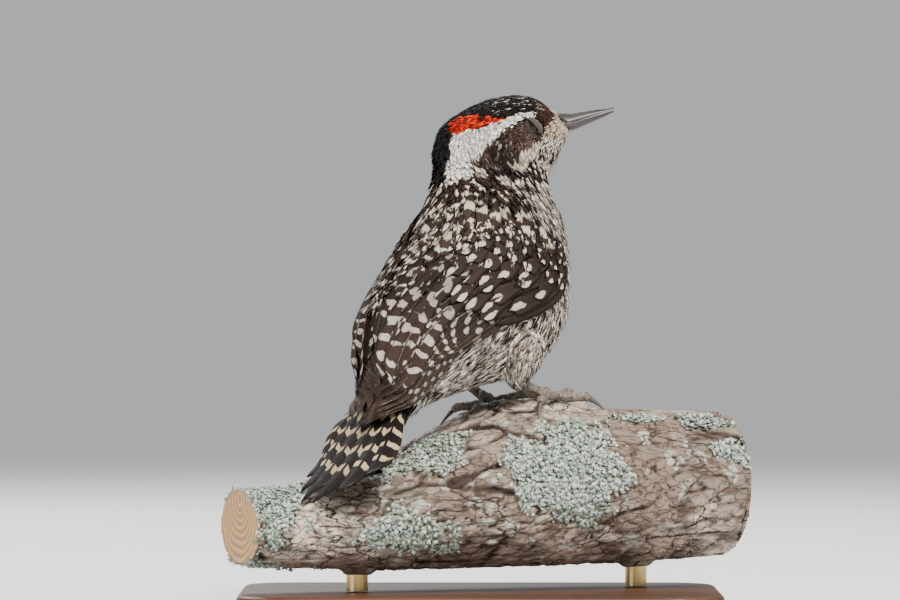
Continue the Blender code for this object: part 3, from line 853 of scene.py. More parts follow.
def lines_on_tree(tree, starts, aims, length, depth, lift, rows):
    """Centre lines that run over a solid, each along its own direction."""
    share = np.linspace(0.0, 1.0, rows)
    count = len(starts)
    centre, outward = np.empty((count, rows, 3)), np.empty((count, rows, 3))
    for i in range(count):
        point = Vector(starts[i]) * MM
        aim = Vector(aims[i]).normalized()
        for k in range(rows):
            found, normal, _, _ = tree.find_nearest(point)
            rise = -depth + (depth + lift) * share[k] ** 0.75
            centre[i, k] = np.array(found) / MM + np.array(normal) * rise
            outward[i, k] = normal
            flat = aim - normal * aim.dot(normal)
            point = found + flat.normalized() * length[i] / (rows - 1) * MM
    forward = unit(np.gradient(centre, axis=1))
    across = unit(np.cross(outward, forward))
    return centre, across, unit(np.cross(forward, across))


def roots_on_tree(tree, low, high, gap, away, draw):
    """Places on a solid in staggered rows, found from rays towards its upright middle."""
    found = []
    for i, height in enumerate(np.arange(high[2], low[2], -gap)):
        turns = np.arange(0.0, 2 * pi, gap / 6.0) + 0.5 * (i % 2) * gap / 6.0
        for turn in turns + draw.normal(0.0, 0.04, len(turns)):
            way = Vector((cos(turn), sin(turn), 0.0))
            middle = Vector(((low[0] + high[0]) / 2, (low[1] + high[1]) / 2, height))
            hit = tree.ray_cast((middle + way * away) * MM, -way)[0]
            if hit is not None:
                found.append(np.array(hit) / MM)
    return np.array(found)


for word in ("right", "left"):
    thigh_tree = tree_of(("trunk", "thigh_" + word))
    low, high = (np.array(corner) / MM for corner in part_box("thigh_" + word))
    draw = np.random.default_rng(57)
    starts = roots_on_tree(tree_of(("thigh_" + word,)), low, high, THIGH_GAP, 20.0, draw)
    starts = starts[starts[:, 2] < high[2] - 1.5]
    length = draw.uniform(5.0, 7.5, len(starts)) * np.interp(
        starts[:, 2], (low[2], low[2] + 8.0, high[2]), (0.55, 1.0, 1.5))
    upper = smooth_step(low[2] + 3.0, high[2], starts[:, 2])[:, None]
    aims = THIGH_AIM + (BELLY_AIM - THIGH_AIM) * upper + draw.normal(0.0, 1.3, (len(starts), 3))
    lines = lines_on_tree(thigh_tree, starts, aims, length, 1.2, 0.7, 6)
    ground = np.where(draw.random((len(starts), 1)) < 0.7, tint(BREAST_WHITE), tint((150, 138, 126)))
    on_map = np.stack([np.arctan2(*(starts - (low + high) / 2).T[1::-1]), starts[:, 2]], -1)
    lay_vanes(
        "thigh_plumage_" + word, lines, leaf_widths(length * 0.23, 6),
        ground * spread(draw, 0.85, 1.1, (len(starts), 1)), tint(CHEEK_UMBER), breast_material,
        on_map, seed=58, columns=3, camber=0.2, fray=0.45,
        strength=(draw.random(len(starts)) < 0.5) * 0.85, slot="pale_plumage",
    )


# ---------------------------------------------------------------------------
# Wings. Folded flight feathers lie under one another in order: primaries
# lowest, then secondaries, then the broad tertials next to the back. Rows of
# coverts, each with a white spot, roof their roots.
WING_EDGE = 0.55
WING_CLEAR = 0.3
WING_LEAN = (-3.3, 0.8, 0.0)      # how far the left wing stands out from the rump


def wing_at(u, v, side, layer):
    """A point of the wing: u from tip to wrist, v from the back down."""
    u, v, layer = np.broadcast_arrays(u, v, layer)
    row = curve_at(WING, np.clip(u, 0, 1) * (len(WING) - 1))
    angle = np.radians(row[..., 1] + (row[..., 2] - row[..., 1]) * v)
    swell = np.sqrt(np.clip(4 * v * (1 - v), 0.0, 1.0))
    proud = WING_CLEAR + layer * (WING_EDGE + (row[..., 3] - WING_EDGE) * swell)
    lean = (side < 0) * smooth_step(-0.7, 0.4, v) * smooth_step(-0.1, 0.1, u)
    lean = lean * (1.0 - smooth_step(0.1, 0.32, u))
    return body_at(row[..., 0], side * angle, proud) + lean[..., None] * WING_LEAN


def lines_on_wing(start, end, side, layers, rows, bend=1.6):
    """Centre lines over the wing from (u, v) to (u, v), between two layers."""
    share = np.linspace(0.0, 1.0, rows)
    u = start[0][:, None] + (end[0] - start[0])[:, None] * share
    v = start[1][:, None] + (end[1] - start[1])[:, None] * share ** bend
    layer = layers[0][:, None] + (layers[1] - layers[0])[:, None] * share ** 0.8
    step = 0.01
    centre = wing_at(u, v, side, layer)
    around = wing_at(u, v + step, side, layer) - wing_at(u, v - step, side, layer)
    forward = unit(np.gradient(centre, axis=1))
    across = unit(around - forward * (around * forward).sum(-1, keepdims=True))
    outward = unit(np.cross(forward, across)) * -side
    return centre, np.cross(outward, forward), outward


def oval(tree, across, along, centre, size, ragged=0.35):
    """A soft-edged oval spot in the vane, with an uneven outline."""
    x = sum_of(tree, "DIVIDE", sum_of(tree, "SUBTRACT", across, centre[0]), size[0])
    y = sum_of(tree, "DIVIDE", sum_of(tree, "SUBTRACT", along, centre[1]), size[1])
    reach = sum_of(tree, "ADD", product_of(tree, x, x), product_of(tree, y, y))
    uneven = sum_of(tree, "MULTIPLY_ADD", noise_of(tree, 700.0, 1.0), ragged * 2, -ragged)
    return ramp_of(tree, sum_of(tree, "ADD", reach, uneven), 0.75, 1.15, 1.0, 0.0)


def covert_spots(tree, across, side, along, chance):
    """A white spot near the tip, or on some feathers one on each web."""
    shifted = sum_of(tree, "MULTIPLY_ADD", chance[0], 0.5, sum_of(tree, "SUBTRACT", across, 0.25))
    near = sum_of(tree, "MULTIPLY_ADD", chance[2], 0.16, sum_of(tree, "SUBTRACT", along, 0.08))
    single = oval(tree, shifted, near, (0.0, 0.76), (0.4, 0.2), 0.8)
    double = oval(tree, side, near, (0.52, 0.72), (0.3, 0.18), 0.8)
    apart = ramp_of(tree, chance[2], 0.68, 0.7)
    return sum_of(tree, "ADD", product_of(tree, double, apart),
                  product_of(tree, single, sum_of(tree, "SUBTRACT", 1.0, apart)))


def flight_spots(rows, size, edge, last, rim, missing=0.0):
    """Rows of blotches on both webs as far as a place near the tip, some of them missing,
    and a thin pale rim."""
    def marks(tree, across, side, along, chance):
        step = sum_of(tree, "MULTIPLY_ADD", along, rows, chance[0])
        step = sum_of(tree, "MULTIPLY_ADD", side, -0.3, step)
        step = sum_of(tree, "MULTIPLY_ADD", noise_of(tree, 260.0, 1.0), 0.7, step)
        cell = sum_of(tree, "SUBTRACT", sum_of(tree, "FRACT", step), 0.5)
        spots = oval(tree, side, cell, (edge, 0.0), size, 0.85)
        spots = product_of(tree, spots, ramp_of(tree, along, last, last + 0.05, 1.0, 0.0))
        held = ramp_of(tree, noise_of(tree, 170.0, 1.0), missing, missing + 0.06)
        spots = product_of(tree, spots, held)
        line = ramp_of(tree, side, 0.92, 0.98, 0.0, rim)
        return sum_of(tree, "MAXIMUM", spots, line)
    return marks


COVERT_BROWN = (42, 32, 29)
FLIGHT_BROWN = (48, 36, 31)
PRIMARY_BROWN = (56, 43, 37)
SPOT_WHITE = (180, 170, 160)
covert_material = feather_material("covert_plumage", covert_spots, 0.82, 0.78, 20.0)
tertial_material = feather_material(
    "tertial_plumage", flight_spots(8.0, (0.34, 0.24), 0.6, 0.93, 0.1, 0.38), 0.7, 0.5, 46.0)
secondary_material = feather_material(
    "secondary_plumage", flight_spots(8.0, (0.24, 0.2), 0.72, 0.93, 0.5, 0.36), 0.7, 0.5, 46.0)
primary_material = feather_material(
    "primary_plumage", flight_spots(8.0, (0.13, 0.15), 0.84, 0.66, 0.6), 0.65, 0.7, 60.0)


def lay_on_wing(name, side, start, end, layers, width, material, brown, *, seed, rows, strength=1.0,
                bend=1.6, root=0.45, widest=0.7, tip=0.3, replaced=(), **shape):
    """A piece of feathers on the wing, each from a start to an end."""
    start, end = (tuple(np.atleast_1d(np.asarray(v, float)) for v in pair) for pair in (start, end))
    count = len(start[0])
    draw = np.random.default_rng(seed)
    layers = [np.broadcast_to(layer, count) for layer in layers]
    lines = lines_on_wing(start, end, side, layers, rows, bend)
    ground = tint(brown) * spread(draw, 0.8, 1.15, (count, 1))
    half = leaf_widths(np.broadcast_to(width, count), rows, root, widest, tip)
    on_map = np.stack([end[1], end[0]], -1)
    return lay_vanes(
        name, lines, half, ground, tint(SPOT_WHITE), material, on_map, seed=seed + 1,
        strength=strength, slot="dark_plumage", replaced=replaced, **shape,
    )


def covert_rows(draw):
    """Tips of the coverts in rows from the wrist back, and each feather's size."""
    tips_u, tips_v, lengths, widths = [], [], [], []
    # place of the row's tips along the wing, feathers in it, length, width
    for i, (u, count, length, width) in enumerate((
        (0.965, 7, 4.5, 3.6), (0.925, 8, 5.0, 4.0), (0.88, 9, 5.6, 4.3), (0.83, 9, 6.4, 4.7),
        (0.775, 8, 7.4, 5.0), (0.715, 8, 8.6, 5.2), (0.65, 7, 9.8, 5.4), (0.58, 7, 11.0, 5.6),
    )):
        spots = (np.arange(count) + 0.5 * (i % 2) + 0.35) / count
        spots = spots[spots < 0.97]
        tips_u.append(u + draw.normal(0.0, 0.004, len(spots)))
        tips_v.append(spots)
        lengths.append(np.full(len(spots), length))
        widths.append(np.full(len(spots), width))
    return [np.concatenate(rows) for rows in (tips_u, tips_v, lengths, widths)]


WING_LENGTH = 98.0              # about how long the wing is, for a feather's share of it
SCAPULAR_ROWS, SCAPULARS_ACROSS = 15, 9
RUFFLED = {1: 2.8, -1: 1.1}     # the right shoulder's stand out more, for the head turns over it
for side, word in ((1, "right"), (-1, "left")):
    draw = np.random.default_rng(61 + side)
    lower = 0.12 * (side < 0)       # the left wing's inner feathers pass under the right's
    order = np.arange(9)
    lay_on_wing(
        "primaries_" + word, side,
        (np.full(9, 0.66), 0.96 - 0.035 * order),
        (np.array((0.13, 0.05, 0.01, 0.0, 0.02, 0.055, 0.09, 0.125, 0.16)) + 0.5 * lower,
         0.74 - 0.15 * order - 2 * lower),
        (0.2 + 0.03 * order - lower, 0.3 + 0.045 * order - 2 * lower), 7.6, primary_material,
        PRIMARY_BROWN, seed=62, rows=18, columns=9, bend=2.0, root=0.6, widest=0.62, tip=0.22,
        camber=0.12, thick=0.14, round_tip=1.2, strength=0.7, patch=0.05,
    )
    order = np.arange(4)
    lay_on_wing(
        "secondaries_" + word, side,
        (np.full(4, 0.72), 0.84 - 0.07 * order),
        (np.array((0.36, 0.32, 0.28, 0.24)), 0.84 - 0.08 * order),
        (0.5 + 0.05 * order, 0.62 + 0.05 * order), 8.4, secondary_material, FLIGHT_BROWN,
        seed=64, rows=14, columns=9, bend=1.4, root=0.7, widest=0.7, tip=0.5,
        camber=0.14, thick=0.14, round_tip=0.8, strength=0.85, patch=0.05,
    )
    order = np.arange(3)
    lay_on_wing(
        "tertials_" + word, side,
        (np.full(3, 0.72), 0.5 - 0.18 * order),
        (np.array((0.2, 0.23, 0.32)), 0.5 - 0.2 * order),
        (0.74 + 0.07 * order - lower, 0.88 + 0.06 * order - lower), 12.0, tertial_material,
        FLIGHT_BROWN, seed=66, rows=14, columns=9, bend=1.2, root=0.7, widest=0.66, tip=0.5,
        camber=0.14, thick=0.14, round_tip=0.7, strength=0.85, patch=0.06,
    )
    tip_u, tip_v, long, wide = covert_rows(draw)
    lay_on_wing(
        "coverts_" + word, side,
        (np.clip(tip_u + long / WING_LENGTH, 0.0, 1.0), tip_v - 0.02),
        (tip_u, tip_v), (0.9, spread(draw, 1.0, 1.07, len(tip_u))), wide, covert_material,
        COVERT_BROWN, seed=68, rows=7, columns=7, camber=0.07, thick=0.05, fray=0.07,
        replaced=("wing_" + word,), strength=0.9, patch=0.03,
    )
    rows_down = np.linspace(0.03, 0.97, 14)
    lay_on_wing(
        "wing_lining_" + word, side, (np.full(14, 1.0), rows_down), (np.full(14, 0.6), rows_down),
        (0.72, 0.88), 4.6, covert_material, COVERT_BROWN, seed=72, rows=12, columns=5,
        bend=1.0, root=0.8, camber=0.05, thick=0.06, strength=0.0, patch=0.03,
    )
    count = SCAPULAR_ROWS * SCAPULARS_ACROSS
    place = np.repeat(np.linspace(6.9, 3.4, SCAPULAR_ROWS), SCAPULARS_ACROSS)
    place = place + draw.normal(0, 0.08, count)
    across_back = np.tile(np.linspace(0.0, 1.0, SCAPULARS_ACROSS), SCAPULAR_ROWS)
    across_back = across_back + draw.normal(0, 0.06, count)
    inner = np.interp(place, (3.0, 4.0, 5.0, 5.7, 6.9), (9.0, 15.0, 22.0, 30.0, 40.0))
    outer = np.interp(place, (3.0, 4.0, 5.0, 5.7, 6.9), (24.0, 42.0, 66.0, 82.0, 94.0))
    angle = side * np.radians(inner + (outer - inner) * across_back)
    depth = np.interp(place, (5.8, 6.9), (-0.4, 0.4))
    lift = np.interp(place, (5.8, 6.9), (3.0, RUFFLED[side]))
    lines = lines_on_body(
        place, angle, spread(draw, 8.5, 11.0, count), depth, lift, 7,
        side * draw.normal(0.02, 0.08, count),
    )
    lay_vanes(
        "scapulars_" + word, lines, leaf_widths(spread(draw, 2.9, 3.9, count), 7),
        tint(UMBER) * spread(draw, 0.85, 1.2, (count, 1)), tint(CREAM), mantle.data.materials[0],
        body_map(place, angle), seed=70, columns=7, fray=0.22, camber=0.16,
        strength=0.85, slot="dark_plumage", patch=0.012,
    )


# ---------------------------------------------------------------------------
# Tail: six stiff, pointed feathers in a fan, the middle pair on top and the
# outer ones shorter, lowered to the limb. Dark, with buff bars that meet at
# the shaft like chevrons.
TAIL_LINE = np.array(((-38.4, 0.0, 58.4), (-46.4, -0.4, 50.2), (-53.8, 1.0, 41.6), (-61.0, 6.0, 32.4)))
TAIL_FEATHERS = 6
TAIL_ROOT_WIDTH, TAIL_WIDTH = 9.0, 17.0
TAIL_SPREAD = 4.4                # how far the left feathers' roots stand out
TAIL_BUFF = (176, 157, 126)
TAIL_INK = (24, 17, 15)


def chevrons(tree, across, side, along, chance):
    """Buff bars on both webs, clear of the shaft, that slope back from it."""
    rows = sum_of(tree, "MULTIPLY_ADD", along, 5.0, product_of(tree, side, -0.6))
    rows = sum_of(tree, "MULTIPLY_ADD", noise_of(tree, 500.0, 1.0), 0.25, rows)
    wave = sum_of(tree, "SINE", product_of(tree, rows, 2 * pi))
    clear = ramp_of(tree, side, 0.08, 0.16)
    mask = product_of(tree, ramp_of(tree, wave, 0.35, 0.65), clear)
    return product_of(tree, mask, ramp_of(tree, along, 0.68, 0.74, 1.0, 0.0))


def top_of(tree, points):
    """Points moved up or down onto the upper face of a solid."""
    found = points.copy()
    for i, point in enumerate(points.reshape(-1, 3)):
        hit = tree.ray_cast(Vector((point[0], point[1], 200.0)) * MM, Vector((0, 0, -1)))[0]
        if hit is not None:
            found.reshape(-1, 3)[i, 2] = hit.z / MM
    return found


tail_tree = tree_of(("tail",))
feather = (np.arange(TAIL_FEATHERS) + 0.5) / TAIL_FEATHERS * 2 - 1
share = np.linspace(0.0, 1.0, 16)
reach = share * (1 - 0.42 * np.abs(feather[:, None]) ** 1.6)
line = curve_at(TAIL_LINE, reach * (len(TAIL_LINE) - 1))
opening = np.sin(np.clip(1.3 * reach, 0, 1) * pi / 2)
half_fan = TAIL_ROOT_WIDTH + (TAIL_WIDTH - TAIL_ROOT_WIDTH) * opening
line[..., 1] += half_fan * feather[:, None] * 0.86
forward, right = level_ways(BODY_HEADING)
centre = NECK_LINE + forward * line[..., :1] - right * line[..., 1:2]
centre[..., 2] = line[..., 2]
centre = top_of(tail_tree, centre)
for _ in range(4):
    centre[:, 1:-1] = (centre[:, :-2] + 2 * centre[:, 1:-1] + centre[:, 2:]) / 4
centre[..., 2] += 0.1 - 0.13 * np.abs(feather[:, None]) * 5 * share
leftmost = np.clip((feather[:, None] + 0.3) / 1.13, 0.0, 1.0)
centre[..., 0] -= TAIL_SPREAD * leftmost * (1.0 - smooth_step(0.1, 0.9, share))
centre[:, 0] += 2.0 * (centre[:, 0] - centre[:, 1])      # the roots run on under the wings
along_tail = unit(np.gradient(centre, axis=1))
across = unit(np.gradient(centre, axis=0))
across = unit(across - along_tail * (across * along_tail).sum(-1, keepdims=True))
outward = unit(np.cross(across, along_tail))
outward *= np.sign(outward[..., 2:])
across = np.cross(outward, along_tail)
order = np.argsort(-np.abs(feather))
middle = np.abs(feather) < 0.2
tip = np.where(middle, 0.4, 0.6)[:, None]
tail_half = leaf_widths(np.full(TAIL_FEATHERS, 9.6), 16, 0.5, 0.6, tip)
lay_vanes(
    "tail_feathers", (centre, across, outward), tail_half, tint(TAIL_INK), tint(TAIL_BUFF),
    feather_material("tail_plumage", chevrons, 0.55, 0.8, 70.0),
    np.stack([feather, np.abs(feather)], -1), seed=81, columns=9, camber=0.16, thick=0.2,
    round_tip=1.5, strength=np.where(middle, 0.8, 1.0), replaced=("tail",), slot="dark_plumage",
    patch=0.06,
)


# ---------------------------------------------------------------------------
# Bill: a straight chisel of grey horn, darker along its ridge and tip, with a
# faint groove along each side. The mandibles stand a little open at the tip.
def horn_material(name, light, dark, tip_from, tip_to):
    """Streaked horn, darker on top and from one place to another along +X."""
    material, tree, shader = new_material(name, 0.38, 0.4)
    grain = noise_of(tree, 1500.0, 4.0, stretched(tree, Scale=(0.12, 1.0, 1.0)), 0.6)
    towards_tip = ramp_of(tree, parts_of(tree, place_of(tree))[0], tip_from, tip_to)
    share = sum_of(tree, "MULTIPLY_ADD", grain, 0.7, product_of(tree, towards_tip, 0.6))
    facing_up = parts_of(tree, node_of(tree, "NewGeometry").outputs["Normal"])[2]
    share = sum_of(tree, "MULTIPLY_ADD", ramp_of(tree, facing_up, 0.62, 0.98), 0.4, share)
    share = sum_of(tree, "SUBTRACT", share, 0.25, clamp=True)
    dress(tree, shader, blend_of(tree, share, light, dark), grain, 0.25, 0.0001)
    return material


def refined_copy(names, cuts, smooth):
    """A bmesh of CAD nodes, merged, with finer and rounder faces."""
    shape = merged_copy(names)
    bmesh.ops.join_triangles(
        shape, faces=shape.faces, angle_face_threshold=0.7, angle_shape_threshold=0.9)
    bmesh.ops.subdivide_edges(
        shape, edges=shape.edges, cuts=cuts, use_grid_fill=True, smooth=smooth)
    bmesh.ops.triangulate(shape, faces=[face for face in shape.faces if len(face.verts) > 4])
    return shape


def mesh_of(shape, name, material):
    """A smooth mesh with one material, from a bmesh that is then freed."""
    mesh = bpy.data.meshes.new(name)
    shape.to_mesh(mesh)
    shape.free()
    mesh.shade_smooth()
    mesh.materials.append(material)
    return mesh


BILL_ROOT = (2.0, 2.6, 136.6)      # reach back under and along the ridge, and the middle's height
BILL_FLARE = 0.17

bill_material = horn_material("bill_horn", (60, 54, 56), (17, 15, 16), 0.027, 0.0365)
for half in ("upper", "lower"):
    name = "bill_" + half
    shape = refined_copy((name,), 2, 0.0)
    low, high = (np.array(corner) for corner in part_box(name))
    length = high[0] - low[0]
    for vert in shape.verts:
        share = (vert.co.x - low[0]) / length
        side = (vert.co.y - EYE[1] * MM) / (0.0031 * (1.02 - share))
        # a shallow groove runs forward from the nostril on each flank
        depth = 0.00018 * (1 - share) * np.exp(-((abs(side) - 0.62) / 0.16) ** 2)
        vert.co.y -= np.sign(side) * depth
        # the root flares and reaches back over the face, farthest along the ridge
        root = max(0.0, 1 - share / 0.12)
        rise = (vert.co.z - low[2]) / (high[2] - low[2])
        vert.co.x -= (BILL_ROOT[0] + BILL_ROOT[1] * rise) * MM * root
        vert.co.y += (vert.co.y - EYE[1] * MM) * BILL_FLARE * root
        vert.co.z += (vert.co.z - BILL_ROOT[2] * MM) * BILL_FLARE * root
        if half == "lower":
            vert.co.z += 0.00024 * max(0.0, 1 - 1.6 * share)
    bmesh.ops.smooth_vert(shape, verts=shape.verts, factor=0.35, use_axis_y=True, use_axis_z=True)
    add_piece(name + "_horn", mesh_of(shape, name + "_horn", bill_material), (name,))

# Bristles: cream hairs that lie forward from the face over the bill's root.
BRISTLES = 460
BILL_LINE = np.array((      # along the bill: place, top and bottom heights, half width
    (19.8, 139.9, 132.9, 3.8), (22.0, 139.35, 133.3, 3.5), (25.4, 139.5, 134.1, 2.9),
    (29.0, 139.95, 135.9, 2.1), (33.0, 140.3, 138.0, 1.1),
))
bristle_draw = np.random.default_rng(95)
bristle_place = bristle_draw.uniform(14.0, 15.3, BRISTLES)
bristle_angle = bristle_draw.uniform(radians(38), pi, BRISTLES)
bristle_angle *= np.where(np.arange(BRISTLES) % 2, 1, -1)
bristle_start = body_at(bristle_place, bristle_angle, -0.3)
under = np.cos(bristle_angle) < -0.35
reach = np.interp(np.degrees(np.abs(bristle_angle)), (38, 75, 110, 180), (19.4, 20.0, 21.0, 22.2))
reach += 2.2 * bristle_draw.uniform(0.0, 1.0, BRISTLES) ** 1.5
turned = bristle_angle + bristle_draw.normal(0.0, 0.12, BRISTLES)
top, bottom, half = (np.interp(reach, BILL_LINE[:, 0], BILL_LINE[:, i]) for i in (1, 2, 3))
proud = bristle_draw.uniform(0.05, 0.3, BRISTLES)
bristle_end = np.stack([
    reach, EYE[1] - (half + proud) * np.sin(turned),
    (top + bottom) / 2 + ((top - bottom) / 2 + proud) * np.cos(turned)], -1)
share = np.linspace(0.0, 1.0, 5)[:, None]
outward = np.stack([np.zeros(BRISTLES), -np.sin(turned), np.cos(turned)], -1)[:, None]
centre = bristle_start[:, None] * (1 - share) + bristle_end[:, None] * share
centre = centre + outward * 0.15 * np.sin(share * pi)
forward = unit(np.gradient(centre, axis=1))
across = unit(np.cross(outward, forward))
bristle_ground = np.where(
    (bristle_draw.random(BRISTLES) < np.where(under, 0.35, 0.1))[:, None],
    tint(CHEEK_UMBER), tint(LORE_CREAM)) * bristle_draw.uniform(0.75, 1.1, (BRISTLES, 1))
lay_vanes(
    "bill_bristles", (centre, across, unit(np.cross(forward, across))),
    leaf_widths(bristle_draw.uniform(0.22, 0.5, BRISTLES), 5, 0.6, 0.4, 0.1),
    bristle_ground, tint(WHITE), breast_material, body_map(bristle_place, bristle_angle),
    seed=96, columns=3, camber=0.15, thick=0.05, strength=0.0, slot="crown_plumage",
)


# ---------------------------------------------------------------------------
# Eyes: dark glossy balls behind half-closed lids. The upper lid, a fold of
# bare grey skin, slants down towards the bill; the lower one is a thin rim.
EYE_SLIT = (-0.35, 2.45, 0.5, -1.45)    # the opening's middle, half length and two edges
LID_CROWN, LID_FALL = 2.86, 1.05        # the lids' height over the eye's middle, and its fall
LID_POINTS = 72
# Rings of the lids: share of the way from the opening's edge to the rim, and depth
# under the lids' curve; the last two close the shell from below.
LID_RINGS = (
    (0.0, 0.22), (0.03, 0.07), (0.09, 0.0), (0.2, 0.03), (0.32, 0.0), (0.46, 0.04), (0.6, 0.0),
    (0.75, 0.03), (0.9, 0.02), (1.0, 0.12), (1.0, 0.4), (0.1, 0.5),
)
LID_GREY = (62, 57, 55)
LID_DARK = (20, 15, 13)
LID_PALE = (88, 79, 73)

eye_material, eye_tree, eye_shader = new_material("eye", 0.2, 0.25)
eye_tree.links.new(
    blend_of(eye_tree, noise_of(eye_tree, 900.0, 2.0), (9, 6, 5), (24, 15, 12)),
    eye_shader.inputs["Base Color"])
lid_material, lid_tree, lid_shader = new_material("eyelid", 0.7, 0.12)
lid_grain = noise_of(lid_tree, 2600.0, 4.0)
dress(
    lid_tree, lid_shader,
    blend_of(lid_tree, ramp_of(lid_tree, lid_grain, 0.35, 0.7, 0.0, 0.55),
             colour_of(lid_tree, "ground"), (40, 34, 32)),
    lid_grain, 0.5, 0.00015)


def lid_point(turn, share, depth, centre, side):
    """A point of the lids round the opening, and the same for both eyes."""
    middle, length, top, bottom = EYE_SLIT
    upright = (top if sin(turn) >= 0 else bottom) * abs(sin(turn)) ** 1.15
    edge = Vector((middle + length * cos(turn), upright))
    rim = Vector((LID_MIDDLE[0] + LID_HALF[0] * cos(turn), LID_MIDDLE[1] + LID_HALF[1] * sin(turn)))
    flat = edge.lerp(rim, share)
    away = hypot((flat.x - LID_MIDDLE[0]) / LID_HALF[0], (flat.y - LID_MIDDLE[1]) / LID_HALF[1])
    height = LID_CROWN - LID_FALL * away ** 2 - depth
    forward = flat.x * cos(LID_SLANT) - flat.y * sin(LID_SLANT)
    up = flat.x * sin(LID_SLANT) + flat.y * cos(LID_SLANT)
    return Vector((centre[0] + forward, centre[1] - side * height, centre[2] + up)) * MM


def face_rank(face):
    """A number of a face's own, from its corners."""
    corners = sorted(vert.index for vert in face.verts)
    return corners[0] * 1e9 + corners[-1] * 1e5 + sum(corners)


def lid_tint(turn, share):
    """Grey upper lid with a pale rim; dark lower one with a thin pale line."""
    if sin(turn) > -0.05:
        return tint(LID_PALE if 0.7 < share < 0.95 else LID_GREY)
    return tint(LID_PALE if 0.05 < share < 0.15 and cos(turn) < 0.2 else LID_DARK)


for word, side in (("right", 1), ("left", -1)):
    low, high = (np.array(corner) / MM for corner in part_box("eye_" + word))
    centre = (low + high) / 2
    ball = bmesh.new()
    bmesh.ops.create_uvsphere(ball, u_segments=48, v_segments=32, radius=(high - low)[0] / 2 * MM)
    bmesh.ops.translate(ball, vec=Vector(centre) * MM, verts=ball.verts)
    ball.verts.index_update()
    ball.faces.sort(key=face_rank)      # the sphere's faces come in no fixed order
    add_piece("eyeball_" + word, mesh_of(ball, "eyeball_" + word, eye_material),
              ("eye_" + word,))
    lids = bmesh.new()
    turns = [2 * pi * (k + 0.5) / LID_POINTS for k in range(LID_POINTS)]
    rings, shades = [], []
    for share, depth in LID_RINGS:
        rings.append([lids.verts.new(lid_point(turn, share, depth, centre, side)) for turn in turns])
        shades += [lid_tint(turn, share) for turn in turns]
    for inner, outer in zip(rings, rings[1:] + rings[:1]):
        for k in range(LID_POINTS):
            j = (k + 1) % LID_POINTS
            lids.faces.new((inner[k], inner[j], outer[j], outer[k]))
    bmesh.ops.recalc_face_normals(lids, faces=lids.faces)
    lid_mesh = mesh_of(lids, "eyelids_" + word, lid_material)
    set_colours(lid_mesh, "ground", np.array(shades))
    add_piece("eyelids_" + word, lid_mesh, ())


# ---------------------------------------------------------------------------
# Feet: bare scaly shanks and toes, two forward and two back, in one skin with
# broad plates over the toes' tops; the claws are hooks of dark horn.
FOOT_GROW = 0.38
FOOT_VOXEL = 0.22
PLATE_LENGTH = 1.25

foot_material, foot_tree, foot_shader = new_material("foot_skin", 0.6, 0.3)
foot_cells = node_of(foot_tree, "TexVoronoi", place_of(foot_tree))
foot_cells = set_inputs(foot_cells, Scale=1300.0).outputs["Distance"]
foot_grime = sum_of(foot_tree, "MULTIPLY_ADD", noise_of(foot_tree, 500.0, 4.0), 0.9, -0.35)
foot_share = sum_of(foot_tree, "MULTIPLY_ADD", foot_cells, 0.8, foot_grime, clamp=True)
dress(
    foot_tree, foot_shader, blend_of(foot_tree, foot_share, (128, 117, 106), (58, 51, 47)),
    sum_of(foot_tree, "SUBTRACT", 1.0, foot_cells), 0.6, 0.0002)
claw_material = horn_material("claw_horn", (84, 76, 72), (30, 26, 25), -1.0, 2.0)

for word in ("right", "left"):
    names = ["tarsus_" + word] + [f"toe_{i}_{word}" for i in range(1, 5)]
    shank = merged_copy(names[:1])
    spots = np.array([vert.co[:] for vert in shank.verts]) / MM
    shank.free()
    foot = spots[spots[:, 2] < spots[:, 2].min() + 1.8].mean(axis=0)
    shape = merged_copy(names, FOOT_GROW)
    for name in names[1:]:
        toe = merged_copy((name,))
        spots = np.array([vert.co[:] for vert in toe.verts]) / MM
        toe.free()
        root = spots[np.argsort(np.linalg.norm(spots - foot, axis=1))[:9]].mean(axis=0)
        for share in np.linspace(0.0, 1.0, 8):
            ball = bmesh.ops.create_icosphere(
                shape, subdivisions=2, radius=(1.35 - 0.3 * share) * MM)
            spot = foot * (1 - share) + root * share
            bmesh.ops.translate(shape, vec=Vector(spot) * MM, verts=ball["verts"])
    mesh = remeshed(shape, FOOT_VOXEL)
    smoothed(mesh, 3)
    points = vertex_places(mesh)
    outward = vertex_outward(mesh)
    away = np.linalg.norm(points - foot, axis=-1)
    plates = np.abs(np.sin(pi * away / PLATE_LENGTH)) ** 0.5 - 0.75
    move_vertices(mesh, points + outward * (0.16 * plates * smooth_step(1.6, 3.0, away) - 0.08)[:, None])
    mesh.shade_smooth()
    mesh.materials.append(foot_material)
    mesh.name = "foot_" + word
    add_piece("foot_" + word, mesh, names)
    claws = tuple(f"claw_{i}_{word}" for i in range(1, 5))
    shape = refined_copy(claws, 1, 0.6)
    add_piece("claws_" + word, mesh_of(shape, "claws_" + word, claw_material), claws)


# ---------------------------------------------------------------------------
# Limb: a short length of old branch with flaking, cracked bark, sawn across at
# both ends, and grown over with mats of leafy grey-green lichen.
LIMB_VOXEL = 0.8
LIMB_HEADING = 20.0
BARK_CLEAR = 0.3
BARK_DEEPEST = 2.2
ROD_SEAT = 0.6                   # how far the bark closes down on a rod's end
ROD_SEAT_REACH = (3.2, 6.0)      # whole bark to this far from a rod's middle, then fading
TOE_SEAT = 0.72                  # how far it stands up to bear the toes and claws
TOE_SEAT_REACH = (0.7, 2.6)
END_FROM_MIDDLE = 60.0           # the sawn ends lie farther along the limb than this
